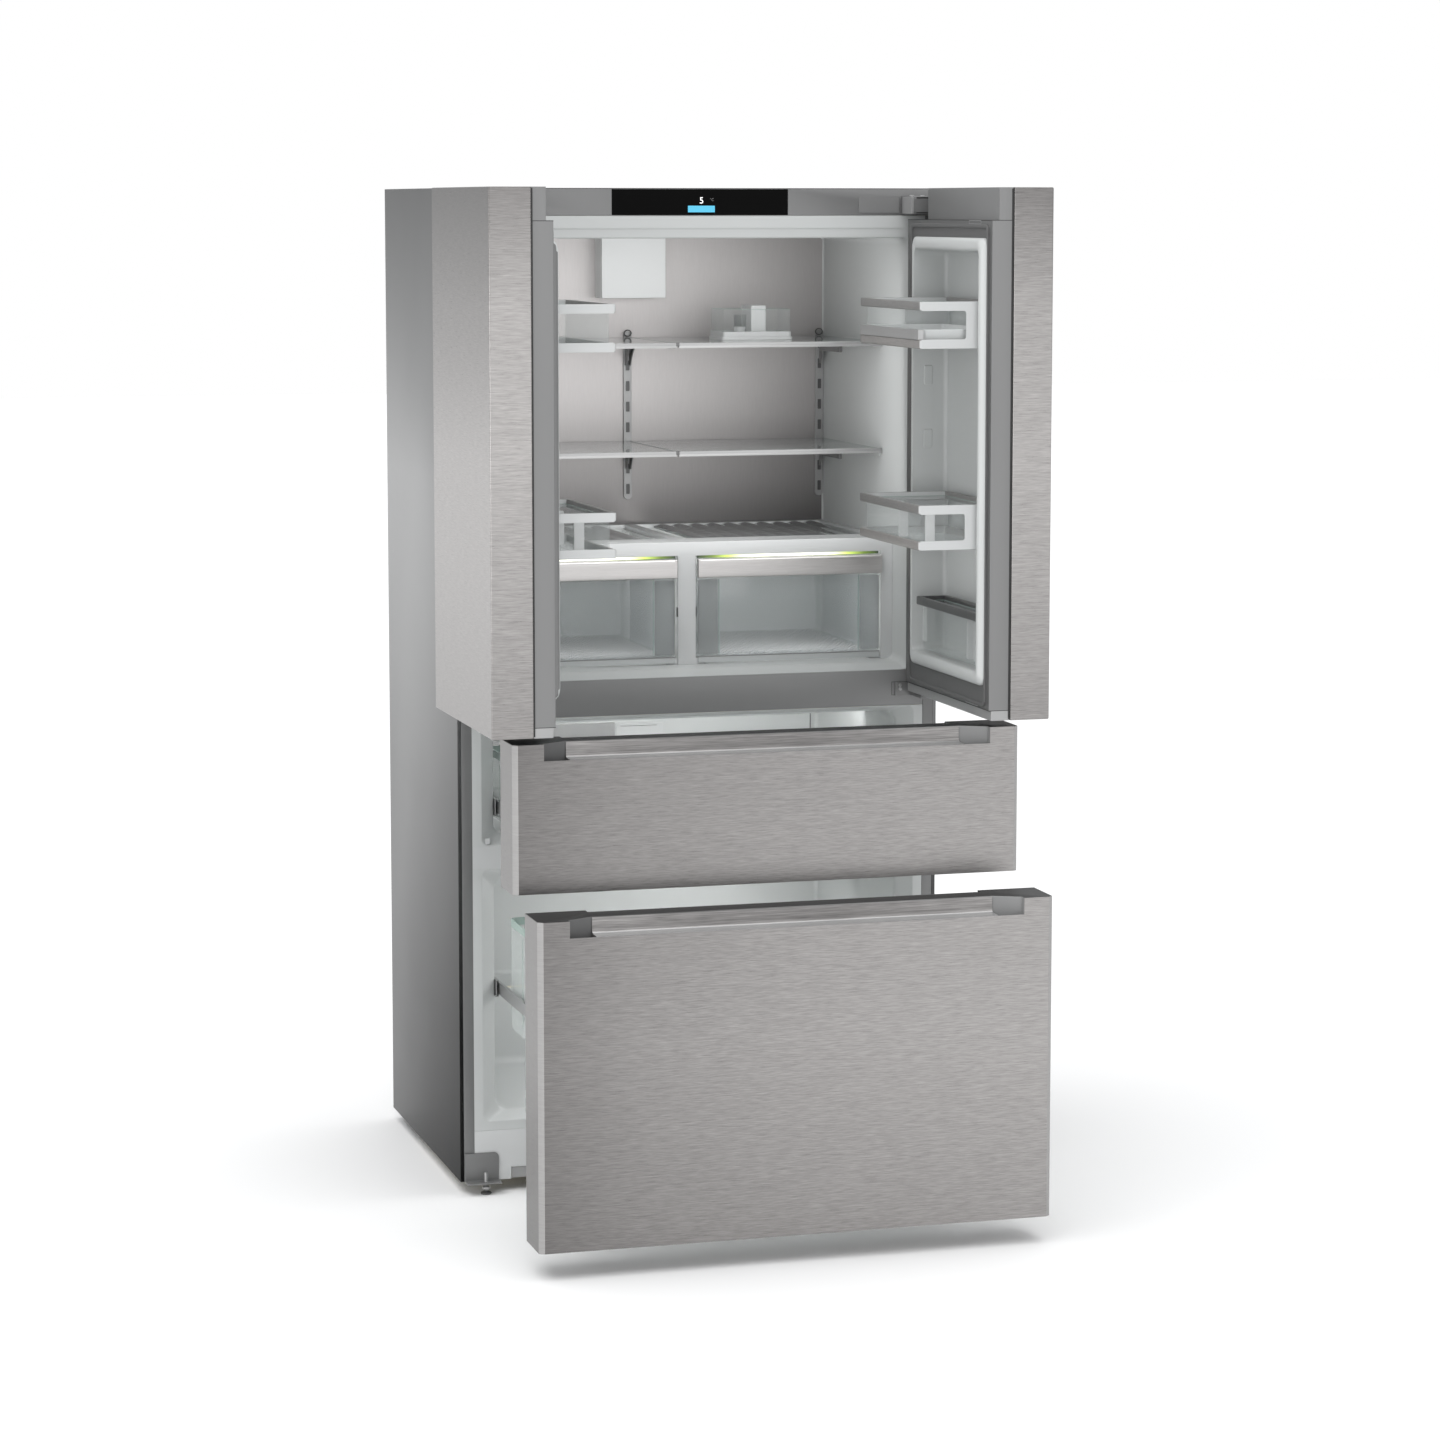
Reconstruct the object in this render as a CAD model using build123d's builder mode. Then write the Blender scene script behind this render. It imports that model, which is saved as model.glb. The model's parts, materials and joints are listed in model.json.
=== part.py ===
from build123d import *
import os

# French-door refrigerator with two pull-out drawers below, in millimetres.
# X runs across the width from the middle, Y from the cabinet's front frame to its back, Z up from the
# floor.
# It is drawn as it stands open: both doors a quarter turn open, both drawers pulled out, crispers shut.

# Cabinet
cabinet_width = 910.0
cabinet_height = 1820.0
cabinet_depth = 619.0
shell_bottom = 21.0
sheet = 1.2  # steel sheet of the shell, the back and the rear wall
shell_lip = 7.0  # bright front return of the shell
frame_sheet = 2.5  # front frame, mullion bar and liner flanges
frame_strip = 19.5  # width of the dark strip beside the openings
liner_wall = 2.5
running_gap = 0.3  # between pieces that slide or turn past each other
cut_over = 1.0  # how far a cut runs past the face it opens
bead_width = 680.0  # stiffening beads pressed into the back
bead_height = 7.0
bead_count = 4
bead_pitch = 235.0

# Front of the cabinet
fascia_height = 49.0
fascia_depth = 40.0
display_width = 330.0
display_margin = 0.8
display_depth = 1.5
display_proud = 0.5
mullion_height = 66.0
mullion_below_door = 29.5  # how far the mullion bar reaches below the doors
plinth_top = 113.5
plinth_notch_side = 95.0  # from the cabinet's side to the notch
plinth_notch_height = 22.0

# Fridge compartment
fridge_side_wall = 55.0
fridge_rear_wall = 95.0
flange_height = 41.0
flange_step_height = 16.5
flange_step_depth = 1.5
sill_rise = 11.5
sill_depth = 40.0  # the floor slopes down to the mullion over this depth

# Drawer compartments
bay_side_wall = 72.0
bay_rear_wall = 119.0
bay_lip = 12.5  # below the mullion bar
divider_height = 45.0
lower_sill = 17.5
flare_depth = 25.0
flare_width = 27.0
flare_rise = 15.0
step_height = 300.0  # the rear of the lower bay steps up over the machine room
step_wall = 40.0

# Cover of the evaporator in the rear wall of the lower bay
cover_side = 43.0
cover_bottom_gap = 12.0
cover_top_gap = 20.0
cover_thickness = 6.0
cover_lug = 12.0
cover_slot_rows = 4
cover_slot_pitch = 14.0
cover_slot_height = 6.0
cover_slot_width = 300.0

# Machine room and insulation
base_underside = 45.0
machine_room_depth = 189.0
machine_room_top = 250.0
duct_rear_wall = 44.0
foam_seam = 0.2

# Doors
door_thickness = 119.0
door_half_gap = 2.0
front_gap = 15.0  # between the fronts, one above the other
skin_depth = 71.5
skin_sheet = 0.8
shadow_gap = 2.0
shadow_depth = 8.0
seal_depth = 8.0
inner_frame_drop = 56.0  # from the door's top to the inner frame
inner_frame_rise = 17.5
inner_frame_inset = 3.0
bottom_cap_setback = 4.0
top_plate_depth = 25.0  # plate behind the skin, above the inner frame
pivot_inset = 27.25
pivot_forward = 48.25
seal_free_inset = 12.0  # from the door's free edge
seal_hinge_inset = 28.0  # from the door's hinge edge
seal_top_inset = 63.0
seal_bottom_inset = 22.0
liner_free_inset = 20.0
liner_hinge_inset = 47.0
liner_top_inset = 87.0
liner_bottom_inset = 59.0
recess_free_inset = 19.0  # from the liner's edge to the recess that holds the bins
recess_hinge_inset = 10.0
recess_end_inset = 23.0
recess_depth = 65.5
liner_rib = 6.5
liner_rib_edge = 2.0
liner_rib_end = 6.0

# Hinges
pin_radius = 6.0
pin_clearance = 0.08
pin_engagement = 18.0
bore_end_gap = 1.0
skin_hole_gap = 3.0
arm_above_frame = 9.0
arm_height = 33.0
arm_inboard = 46.0
arm_outboard = 9.0
arm_forward = 12.0
arm_corner = 6.0
arm_foot = 8.0
arm_pocket = 50.0
arm_pocket_depth = 26.0
lower_arm_gap = 6.0
lower_arm_sheet = 5.0
lower_arm_inboard = 24.0
lower_arm_outboard = 14.0
lower_plate_height = 25.0
lower_plate_sheet = 3.0
lower_plate_inboard = 54.0

# Door bins
bin_free_gap = 4.0  # from the recess to the bin, at the door's free side
bin_hinge_gap = 24.5
bin_rear_gap = 5.5
bin_depth = 169.5
low_bin_depth = 60.0
rail_height = 15.0
rail_width = 8.0
bin_wall = 2.5
bin_end_sheet = 3.0
bin_end_depth = 76.5
top_bin_height = 81.0
top_bin_drop = 86.0
middle_bin_height = 78.0
middle_bin_gap = 113.0
low_bin_height = 98.0
low_bin_rise = 4.0
bin_lug_depth = 16.0  # lugs of the door liner that the bins hang on
bin_lug_rear = 29.0
bin_lug_inset = 12.0

# Drawer fronts
lower_front_bottom = 47.0
lower_front_height = 562.5
upper_front_height = 257.5
front_depth = 96.5
front_chamfer = 8.5
front_plate_inset = 14.0  # at the sides
front_plate_rise = 1.0
drawer_seal_width = 14.0
drawer_seal_edge = 1.0
lower_pull = 500.0
upper_pull = 323.0

# Grip recess along the top of each drawer front
grip_side = 54.0
grip_height = 28.5
grip_floor_drop = 7.0
grip_depth = 35.0
grip_straight = 14.0
grip_end_run = 45.0
grip_wall = 3.0
grip_strip_sheet = 1.5
grip_strip_end_gap = 1.0
rebate_depth = 18.0  # step along the rear of the front's top, between its ends
rebate_height = 6.0
rebate_side = 105.0

# Drawer slides: a fixed, a middle and a moving member, side by side
slide_sheet = 5.0
slide_start = 15.0
slide_end_gap = 5.0
slide_height = 31.0
slide_step = 4.0
upper_slide_rise = 35.5
lower_slide_rise = 211.0

# Drawer baskets
basket_wall = 2.5
basket_front_gap = 5.0
basket_rear_gap = 30.0
basket_step_gap = 20.0
basket_over_step = 10.0
upper_basket_rise = 15.5
upper_basket_height = 130.0
lower_basket_rise = 22.0
lower_basket_drop = 69.5
basket_arm_height = 12.0

# Shelves
shelf_glass = 4.4
shelf_front = 160.0
shelf_rear_gap = 3.8
shelf_side_gap = 2.0
upper_shelf_share = 0.651  # height of each shelf within the space over the crispers
lower_shelf_share = 0.291
trim_depth = 7.0
trim_height = 9.5
trim_proud = 1.0
shelf_rail_inset = 10.0
shelf_rail_width = 16.0
shelf_rail_depth = 5.0
shelf_rail_rise = 48.5
shelf_rail_over = 11.6
slot_pitch = 40.0
slot_width = 7.0
slot_height = 19.0
slot_depth = 3.0
bracket_sheet = 2.0
bracket_side = 4.0  # middle brackets stand this far each side of the middle
bracket_drop = 50.0
bracket_setback = 28.0
bracket_rise = 36.0
bracket_arm = 12.0
bracket_foot = 8.0

# Crispers and the cover over them
crisper_front = 93.0
crisper_door_gap = 2.5  # the crispers slide out past the open doors
crisper_post = 34.0
crisper_post_gap = 3.0
crisper_rise = 12.0
crisper_height = 173.0
crisper_rear_gap = 26.0
crisper_wall = 2.5
handle_depth = 9.0
handle_lip = 4.0
handle_below = 26.0
handle_above = 7.0
cover_over_floor = 227.5
cover_sheet = 4.0
cover_face_height = 25.5
cover_front_band = 82.0
cover_rear_band = 19.0
cover_side_band = 15.0
pane_seat = 4.0
pane_thickness = 4.0
flute_pitch = 34.0
flute_height = 4.0
light_height = 5.0
light_depth = 6.0
light_plate = 2.0
light_end_gap = 4.0
runner_width = 10.0
runner_key = 1.0

# Things in the fridge compartment
filter_width = 127.0
filter_height = 118.0
filter_depth = 54.0
filter_corner = 4.0
tray_left = 131.0
tray_width = 140.0
tray_depth = 95.0
tray_rear_gap = 109.0
tray_base = 15.5
tray_wall = 3.0
tray_block_left = 61.0
tray_block_width = 30.0
tray_block_inset = 12.0
tray_block_height = 49.0

# Feet
foot_side = 44.0
foot_forward = 15.0
foot_radius = 10.0
foot_pad = 5.0
foot_bevel = 1.5
foot_stem_radius = 4.0
foot_stem_top = 40.0
foot_stem_bevel = 0.8
bracket_plate = 3.0
bracket_side_inner = 71.0
bracket_side_outer = 8.0
bracket_bottom = 20.0
bracket_height = 53.0
bracket_forward = 28.0
bracket_corner = 9.0

# Rear rollers and the base plate that carries them
roller_radius = 20.0
roller_width = 22.0
roller_side = 75.0
roller_rear = 44.0
axle_radius = 4.0
axle_overhang = 12.0
base_plate_bottom = 28.0
base_plate_sheet = 2.0
wheel_slot_gap = 4.0
ear_sheet = 4.0
ear_half = 9.0
ear_inner_gap = 8.0
ear_outer_gap = 6.0

# Compressor and condenser
compressor_radius = 70.0
compressor_height = 120.0
compressor_x = 200.0
compressor_rear = 97.0
compressor_lift = 8.0
compressor_crown = 24.0
compressor_foot_radius = 9.0
compressor_foot_place = 52.0
compressor_foot_height = 14.0
condenser_side = 58.0
condenser_fins = 20
condenser_pitch = 16.0
condenser_height = 130.0
condenser_front = 40.0
condenser_depth = 90.0
condenser_rows = 4
condenser_row_pitch = 30.0
tube_radius = 4.0
fin_sheet = 2.0

# Evaporator and its fan
evaporator_side = 69.5
evaporator_fins = 18
evaporator_pitch = 36.0
evaporator_height = 142.5
evaporator_gap = 8.0
evaporator_rows = 3
evaporator_row_pitch = 45.0
evaporator_tube_radius = 5.0
fan_rise = 225.0  # over the step
fan_radius = 42.0
fan_blades = 7
fan_blade_sheet = 2.0
fan_blade_tilt = 35.0
hub_radius = 14.0
hub_length = 16.0
hub_front_gap = 24.5
motor_radius = 20.0
motor_gap = 6.0
shaft_radius = 2.5
shaft_over = 7.0

# Machine-room cover and its mains inlet
louvre_rows = 9
louvre_columns = 4
louvre_width = 110.0
louvre_height = 6.0
louvre_pitch = 16.0
louvre_column_pitch = 141.0
louvre_rise = 104.0
louvre_shift = 71.0
inlet_side = 114.0
inlet_z = 110.0
inlet_width = 28.0
inlet_height = 20.0
inlet_depth = 20.5
inlet_wall = 5.0
inlet_pin = 2.0
inlet_pin_height = 6.0
inlet_pin_length = 16.0
inlet_pin_pitch = 8.0

# Across the width
side = cabinet_width / 2
frame_outer = side - shell_lip
frame_inner = frame_outer - frame_strip
inner_side = side - sheet
fridge_half = side - fridge_side_wall
bay_half = side - bay_side_wall
flare_half = bay_half + flare_width
pivot_x = side - pivot_inset
fold_x = pivot_x - pivot_forward  # the back of an open door lies at this X
crisper_half = fold_x - crisper_door_gap
post_half = crisper_post / 2

# In depth
back_inside = cabinet_depth - sheet
room_rear = cabinet_depth - liner_wall
fridge_depth = cabinet_depth - fridge_rear_wall
shelf_wall = fridge_depth - sheet
rail_face = shelf_wall - shelf_rail_depth
shelf_back = rail_face - shelf_rear_gap
bay_depth = cabinet_depth - bay_rear_wall
machine_room_front = cabinet_depth - machine_room_depth
step_depth = machine_room_front - step_wall
duct_back = cabinet_depth - duct_rear_wall
pivot_y = -pivot_forward
fold_y = pivot_x + pivot_forward  # the free edge of an open door points to minus this Y
skin_rear = -door_thickness + skin_depth
frame_front = skin_rear + shadow_gap
frame_rear = -seal_depth

# By height
lower_front_top = lower_front_bottom + lower_front_height
upper_front_bottom = lower_front_top + front_gap
door_bottom = upper_front_bottom + upper_front_height + front_gap
mullion_bottom = door_bottom - mullion_below_door
mullion_top = mullion_bottom + mullion_height
divider_z = lower_front_top + front_gap / 2
upper_flare = (divider_z + divider_height / 2, mullion_bottom - liner_wall)
lower_flare = (plinth_top + lower_sill, divider_z - divider_height / 2)
upper_bay = (upper_flare[0] + flare_rise, mullion_bottom - bay_lip)
lower_bay = (lower_flare[0] + flare_rise, lower_flare[1] - flare_rise)
fridge_floor = mullion_top + sill_rise
inner_top = cabinet_height - sheet
fascia_bottom = cabinet_height - fascia_height
fridge_ceiling = fascia_bottom - flange_height
cover_top = fridge_floor + cover_over_floor
shelf_space = fridge_ceiling - cover_top
shelf_tops = [cover_top + share * shelf_space for share in (upper_shelf_share, lower_shelf_share)]
inner_frame_top = cabinet_height - inner_frame_drop
arm_bottom = inner_frame_top + arm_above_frame
base_top = base_plate_bottom + base_plate_sheet

os.makedirs("parts", exist_ok=True)


def save(piece, name):
    piece.part.label = name
    export_step(piece.part, f"parts/{name}.step")


def block(x, y, z, mode=Mode.ADD):
    # a box from its two limits along each axis
    middle = [(limits[0] + limits[1]) / 2 for limits in (x, y, z)]
    with Locations(tuple(middle)):
        Box(*[abs(limits[1] - limits[0]) for limits in (x, y, z)], mode=mode)


def pair(x, y, z, mode=Mode.ADD):
    # the same box on both sides of the middle
    block(x, y, z, mode)
    block((-x[0], -x[1]), y, z, mode)


def upright(x, y, radius, z, mode=Mode.ADD):
    with Locations((x, y, (z[0] + z[1]) / 2)):
        Cylinder(radius, abs(z[1] - z[0]), mode=mode)


def across(x, y, z, radius, mode=Mode.ADD):
    # a cylinder along X
    with Locations(Location(((x[0] + x[1]) / 2, y, z), (0, 90, 0))):
        Cylinder(radius, abs(x[1] - x[0]), mode=mode)


def lengthwise(x, y, z, radius, mode=Mode.ADD):
    # a cylinder along Y
    with Locations(Location((x, (y[0] + y[1]) / 2, z), (90, 0, 0))):
        Cylinder(radius, abs(y[1] - y[0]), mode=mode)


def prism(plane, points, amount, mode=Mode.ADD):
    with BuildSketch(plane) as outline:
        with BuildLine():
            Polyline(*points, close=True)
        make_face()
    extrude(outline.sketch, amount=amount, mode=mode)


def funnel(front, back, depth):
    # cuts an opening that tapers between two rectangles, each given as (half width, (low, high))
    faces = []
    for y, (half, z) in ((0.0, front), (depth, back)):
        with BuildSketch(Plane.XZ.offset(-y)) as outline:
            with Locations((0, (z[0] + z[1]) / 2)):
                Rectangle(2 * half, z[1] - z[0])
        faces.append(outline.sketch.face())
    loft(faces, mode=Mode.SUBTRACT)


def spread(half):
    return (-half, half)


def centred(middle, width):
    return (middle - width / 2, middle + width / 2)


# Cabinet shell: one folded sheet over both sides and the top, with a narrow return at the front
with BuildPart() as outer_shell:
    pair((inner_side, side), (0, cabinet_depth), (shell_bottom, cabinet_height))
    block(spread(side), (0, cabinet_depth), (inner_top, cabinet_height))
    pair((frame_outer, side), (0, sheet), (shell_bottom, cabinet_height))
save(outer_shell, "outer_shell")

with BuildPart() as back_panel:
    block(spread(inner_side), (back_inside, cabinet_depth), (machine_room_top, inner_top))
    with BuildSketch(Plane.XZ.offset(-back_inside)):
        lowest_bead = (machine_room_top + inner_top - bead_pitch * (bead_count - 1)) / 2
        with Locations(*[(0, lowest_bead + bead_pitch * bead) for bead in range(bead_count)]):
            RectangleRounded(bead_width, bead_height, bead_height / 2 - 0.1)
    extrude(amount=-sheet / 2, mode=Mode.SUBTRACT)
save(back_panel, "back_panel")

# Louvred cover of the machine room, with the mains inlet moulded in
with BuildPart() as machine_cover:
    block(spread(inner_side), (room_rear, cabinet_depth), (base_top, machine_room_top))
    louvres = [
        (
            louvre_column_pitch * (column - (louvre_columns - 1) / 2) - louvre_shift,
            (room_rear + cabinet_depth) / 2,
            louvre_rise + louvre_pitch * (row - (louvre_rows - 1) / 2) + base_top,
        )
        for row in range(louvre_rows)
        for column in range(louvre_columns)
    ]
    with Locations(*louvres):
        Box(louvre_width, liner_wall, louvre_height, mode=Mode.SUBTRACT)
    inlet_x = side - inlet_side
    housing_x = centred(inlet_x, inlet_width + 2 * inlet_wall)
    housing_z = centred(inlet_z, inlet_height + 2 * inlet_wall)
    socket_front = cabinet_depth - inlet_depth
    block(housing_x, (socket_front - inlet_wall, room_rear), housing_z)
    block(
        centred(inlet_x, inlet_width),
        (socket_front, cabinet_depth),
        centred(inlet_z, inlet_height),
        Mode.SUBTRACT,
    )
    for step in (-1, 0, 1):
        pin_x = centred(inlet_x + step * inlet_pin_pitch, inlet_pin)
        block(pin_x, (socket_front, socket_front + inlet_pin_length), centred(inlet_z, inlet_pin_height))
save(machine_cover, "machine_cover")

# Foam between the shell and the liners, as flat panels that meet at thin seams
fridge_foam_side = fridge_half + liner_wall
bay_foam_side = bay_half + liner_wall
flare_foam_side = flare_half + liner_wall
fridge_foam_back = fridge_depth + liner_wall
bay_foam_back = bay_depth + liner_wall
flare_end = flare_depth + liner_wall
bay_roof = upper_bay[1] + liner_wall
fridge_under = fridge_floor - liner_wall
fridge_over = fridge_ceiling + liner_wall
flange_back = frame_sheet + flange_step_depth
step_back = step_depth + liner_wall
step_under = step_height - liner_wall
sill_under = mullion_top - liner_wall
lower_roof = lower_bay[1] + liner_wall
foam_panels = [
    (spread(inner_side), (fascia_depth, back_inside), (fascia_bottom, inner_top)),
    (spread(fridge_foam_side), (flange_back, back_inside), (fridge_over, fascia_bottom)),
    (spread(fridge_foam_side), (fridge_foam_back, back_inside), (fridge_under, fridge_over)),
    (spread(inner_side), (frame_sheet, sill_depth), (mullion_bottom, sill_under)),
    (spread(inner_side), (sill_depth, back_inside), (bay_roof, fridge_under)),
    (spread(bay_foam_side), (flare_end, bay_foam_back), (lower_roof, upper_bay[0] - liner_wall)),
    (spread(bay_foam_side), (bay_foam_back, back_inside), (lower_roof, bay_roof)),
    (spread(bay_foam_side), (duct_back, back_inside), (step_under, lower_bay[1])),
    (spread(bay_foam_side), (step_back, back_inside), (machine_room_top, step_under)),
    (spread(bay_foam_side), (step_back, machine_room_front), (base_underside, machine_room_top)),
    (spread(bay_foam_side), (flare_end, step_back), (base_underside, lower_bay[0] - liner_wall)),
]
foam_sides = [
    ((fridge_foam_side, inner_side), (frame_sheet, back_inside), (fridge_under, fascia_bottom)),
    ((flare_foam_side, inner_side), (frame_sheet, flare_end), (base_underside, mullion_bottom)),
    ((bay_foam_side, inner_side), (flare_end, room_rear), (base_underside, bay_roof)),
]


def foam(x, y, z):
    # a panel drawn in from its seams on every side
    block(*[(min(limits) + foam_seam / 2, max(limits) - foam_seam / 2) for limits in (x, y, z)])


with BuildPart() as cabinet_foam:
    for panel in foam_panels:
        foam(*panel)
    for x, y, z in foam_sides:
        foam(x, y, z)
        foam((-x[0], -x[1]), y, z)
save(cabinet_foam, "cabinet_foam")

# White liner of the fridge compartment, with its stepped front flange and sloping sill
with BuildPart() as fridge_liner:
    block(spread(fridge_foam_side), (0, fridge_foam_back), (fridge_under, fridge_over))
    block(spread(frame_inner), (0, frame_sheet), (mullion_top, fascia_bottom))
    block(spread(fridge_foam_side), (frame_sheet, sill_depth), (sill_under, fridge_floor))
    inside = spread(fridge_half)
    block(inside, (-cut_over, fridge_depth), (fridge_floor, fridge_ceiling), Mode.SUBTRACT)
    sill = [
        (-cut_over, mullion_top),
        (0, mullion_top),
        (sill_depth, fridge_floor),
        (-cut_over, fridge_floor),
    ]
    prism(Plane.YZ.offset(-fridge_half), sill, 2 * fridge_half, Mode.SUBTRACT)
    step_z = fridge_ceiling + flange_step_height
    block(inside, (frame_sheet, flange_back), (fridge_over, step_z + liner_wall))
    block(inside, (-cut_over, flange_step_depth), (fridge_ceiling - cut_over, step_z), Mode.SUBTRACT)
save(fridge_liner, "fridge_liner")

with BuildPart() as fridge_rear_panel:
    block(spread(fridge_half), (shelf_wall, fridge_depth), (cover_top, fridge_ceiling))
save(fridge_rear_panel, "fridge_rear_panel")

# White liner of both drawer bays, in one moulding with the divider between them
cover_half = bay_half - cover_side
cover_z = (step_height + cover_bottom_gap, lower_bay[1] - cover_top_gap)
with BuildPart() as freezer_liner:
    block(spread(frame_inner), (0, frame_sheet), (plinth_top, mullion_bottom))
    flare_low = lower_flare[0] - liner_wall
    block(spread(flare_foam_side), (frame_sheet, flare_end), (flare_low, mullion_bottom))
    block(spread(bay_foam_side), (flare_end, bay_foam_back), (upper_bay[0] - liner_wall, bay_roof))
    lower_shell = [
        (flare_end, lower_bay[0] - liner_wall),
        (step_back, lower_bay[0] - liner_wall),
        (step_back, step_under),
        (bay_foam_back, step_under),
        (bay_foam_back, lower_roof),
        (flare_end, lower_roof),
    ]
    prism(Plane.YZ.offset(-bay_foam_side), lower_shell, 2 * bay_foam_side)
    lower_hollow = [
        (0, lower_bay[0]),
        (step_depth, lower_bay[0]),
        (step_depth, step_height),
        (bay_depth, step_height),
        (bay_depth, lower_bay[1]),
        (0, lower_bay[1]),
    ]
    prism(Plane.YZ.offset(-bay_half), lower_hollow, 2 * bay_half, Mode.SUBTRACT)
    block(spread(bay_half), (0, bay_depth), upper_bay, Mode.SUBTRACT)
    funnel((flare_half, upper_flare), (bay_half, upper_bay), flare_depth)
    funnel((flare_half, lower_flare), (bay_half, lower_bay), flare_depth)
    window_z = (cover_z[0] - running_gap, cover_z[1] + running_gap)
    block(spread(cover_half + running_gap), (bay_depth, bay_foam_back), window_z, Mode.SUBTRACT)
save(freezer_liner, "freezer_liner")

with BuildPart() as evaporator_cover:
    cover_y = (bay_depth, bay_depth + cover_thickness)
    block(spread(cover_half), cover_y, cover_z)
    slots = [
        (0, bay_depth + cover_thickness / 2, cover_z[1] - cover_slot_pitch * (row + 2))
        for row in range(cover_slot_rows)
    ]
    with Locations(*slots):
        Box(cover_slot_width, cover_thickness, cover_slot_height, mode=Mode.SUBTRACT)
    lug_z = (cover_z[0] + cover_lug, cover_z[1] - cover_lug)
    pair((cover_half, cover_half + cover_lug), (bay_foam_back, cover_y[1]), lug_z)
save(evaporator_cover, "evaporator_cover")

# Dark frame strips beside the openings, and the fascia across the top
display_z = (fascia_bottom + display_margin, inner_top - display_margin)
with BuildPart() as front_frame:
    pair((frame_inner, frame_outer), (0, frame_sheet), (shell_bottom, fascia_bottom - running_gap))
    block(spread(frame_outer), (0, fascia_depth), (fascia_bottom, inner_top))
    seat_back = display_depth - display_proud
    block(spread(display_width / 2), (-cut_over, seat_back), display_z, Mode.SUBTRACT)
save(front_frame, "front_frame")

with BuildPart() as control_display:
    block(spread(display_width / 2), (-display_proud, seat_back), display_z)
save(control_display, "control_display")

with BuildPart() as mullion_bar:
    block(spread(frame_inner), (0, frame_sheet), (mullion_bottom, mullion_top))
save(mullion_bar, "mullion_bar")

# Hinges: a thick arm at the cabinet's top corner and a folded plate on the mullion, each with its pin
arm_z = (arm_bottom, arm_bottom + arm_height)
lower_arm_z = (door_bottom - lower_arm_gap - lower_arm_sheet, door_bottom - lower_arm_gap)
with BuildPart() as hinge_brackets:
    for hand in (-1, 1):
        with BuildSketch(Plane.XY.offset(arm_bottom)):
            arm_middle = pivot_x + (arm_outboard - arm_inboard) / 2
            with Locations((hand * arm_middle, (pivot_y - arm_forward) / 2)):
                RectangleRounded(arm_inboard + arm_outboard, pivot_forward + arm_forward, arm_corner)
        extrude(amount=arm_height)
        arm_x = (hand * (pivot_x - arm_inboard), hand * (pivot_x + arm_outboard))
        block(arm_x, (-arm_foot, 0), arm_z)
        pin_z = (inner_frame_top - pin_engagement, arm_bottom + cut_over)
        upright(hand * pivot_x, pivot_y, pin_radius, pin_z)
        lower_x = (hand * (pivot_x - lower_arm_inboard), hand * (pivot_x + lower_arm_outboard))
        block(lower_x, (pivot_y - arm_forward, 0), lower_arm_z)
        plate_x = (hand * (pivot_x - lower_plate_inboard), hand * (pivot_x + lower_arm_outboard))
        block(plate_x, (-lower_plate_sheet, 0), (lower_arm_z[0], lower_arm_z[0] + lower_plate_height))
        upright(hand * pivot_x, pivot_y, pin_radius, (lower_arm_z[0], door_bottom + pin_engagement))
save(hinge_brackets, "hinge_brackets")

# Slotted shelf rails on the rear wall
rail_x = fridge_half - shelf_rail_inset
shelf_rail_z = (cover_top + shelf_rail_rise, shelf_tops[0] + shelf_rail_over)
with BuildPart() as shelf_rails:
    rail_slots = []
    for x in (-rail_x, 0, rail_x):
        block(centred(x, shelf_rail_width), (rail_face, shelf_wall), shelf_rail_z)
        for row in range(int((shelf_rail_z[1] - shelf_rail_z[0]) / slot_pitch)):
            rail_slots.append((x, rail_face + slot_depth / 2, shelf_rail_z[0] + slot_pitch * (row + 0.5)))
    with Locations(*rail_slots):
        Box(slot_width, slot_depth, slot_height, mode=Mode.SUBTRACT)
save(shelf_rails, "shelf_rails")

# Glass: four plain shelves and the two fluted panes over the crispers
pane_top = cover_top - flute_height
pane_under = pane_top - pane_thickness
pane_outer = fridge_half - cover_side_band
flutes = int((pane_outer - pane_seat) / flute_pitch)
pane_inner = pane_outer - flutes * flute_pitch
pane_y = (crisper_front + cover_front_band, fridge_depth - cover_rear_band)
shelf_x = (shelf_side_gap, fridge_half - shelf_side_gap)
with BuildPart() as glass_shelves:
    for top in shelf_tops:
        pair(shelf_x, (shelf_front, shelf_back), (top - shelf_glass, top))
    for hand in (-1, 1):
        with BuildSketch(Plane.XZ.offset(-pane_y[0])):
            with BuildLine():
                for flute in range(flutes):
                    start = pane_inner + flute * flute_pitch
                    ThreePointArc(
                        (hand * start, pane_top),
                        (hand * (start + flute_pitch / 2), cover_top),
                        (hand * (start + flute_pitch), pane_top),
                    )
                Polyline(
                    (hand * pane_outer, pane_top),
                    (hand * pane_outer, pane_under),
                    (hand * pane_inner, pane_under),
                    (hand * pane_inner, pane_top),
                )
            make_face()
        extrude(amount=pane_y[0] - pane_y[1])
save(glass_shelves, "glass_shelves")

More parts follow.
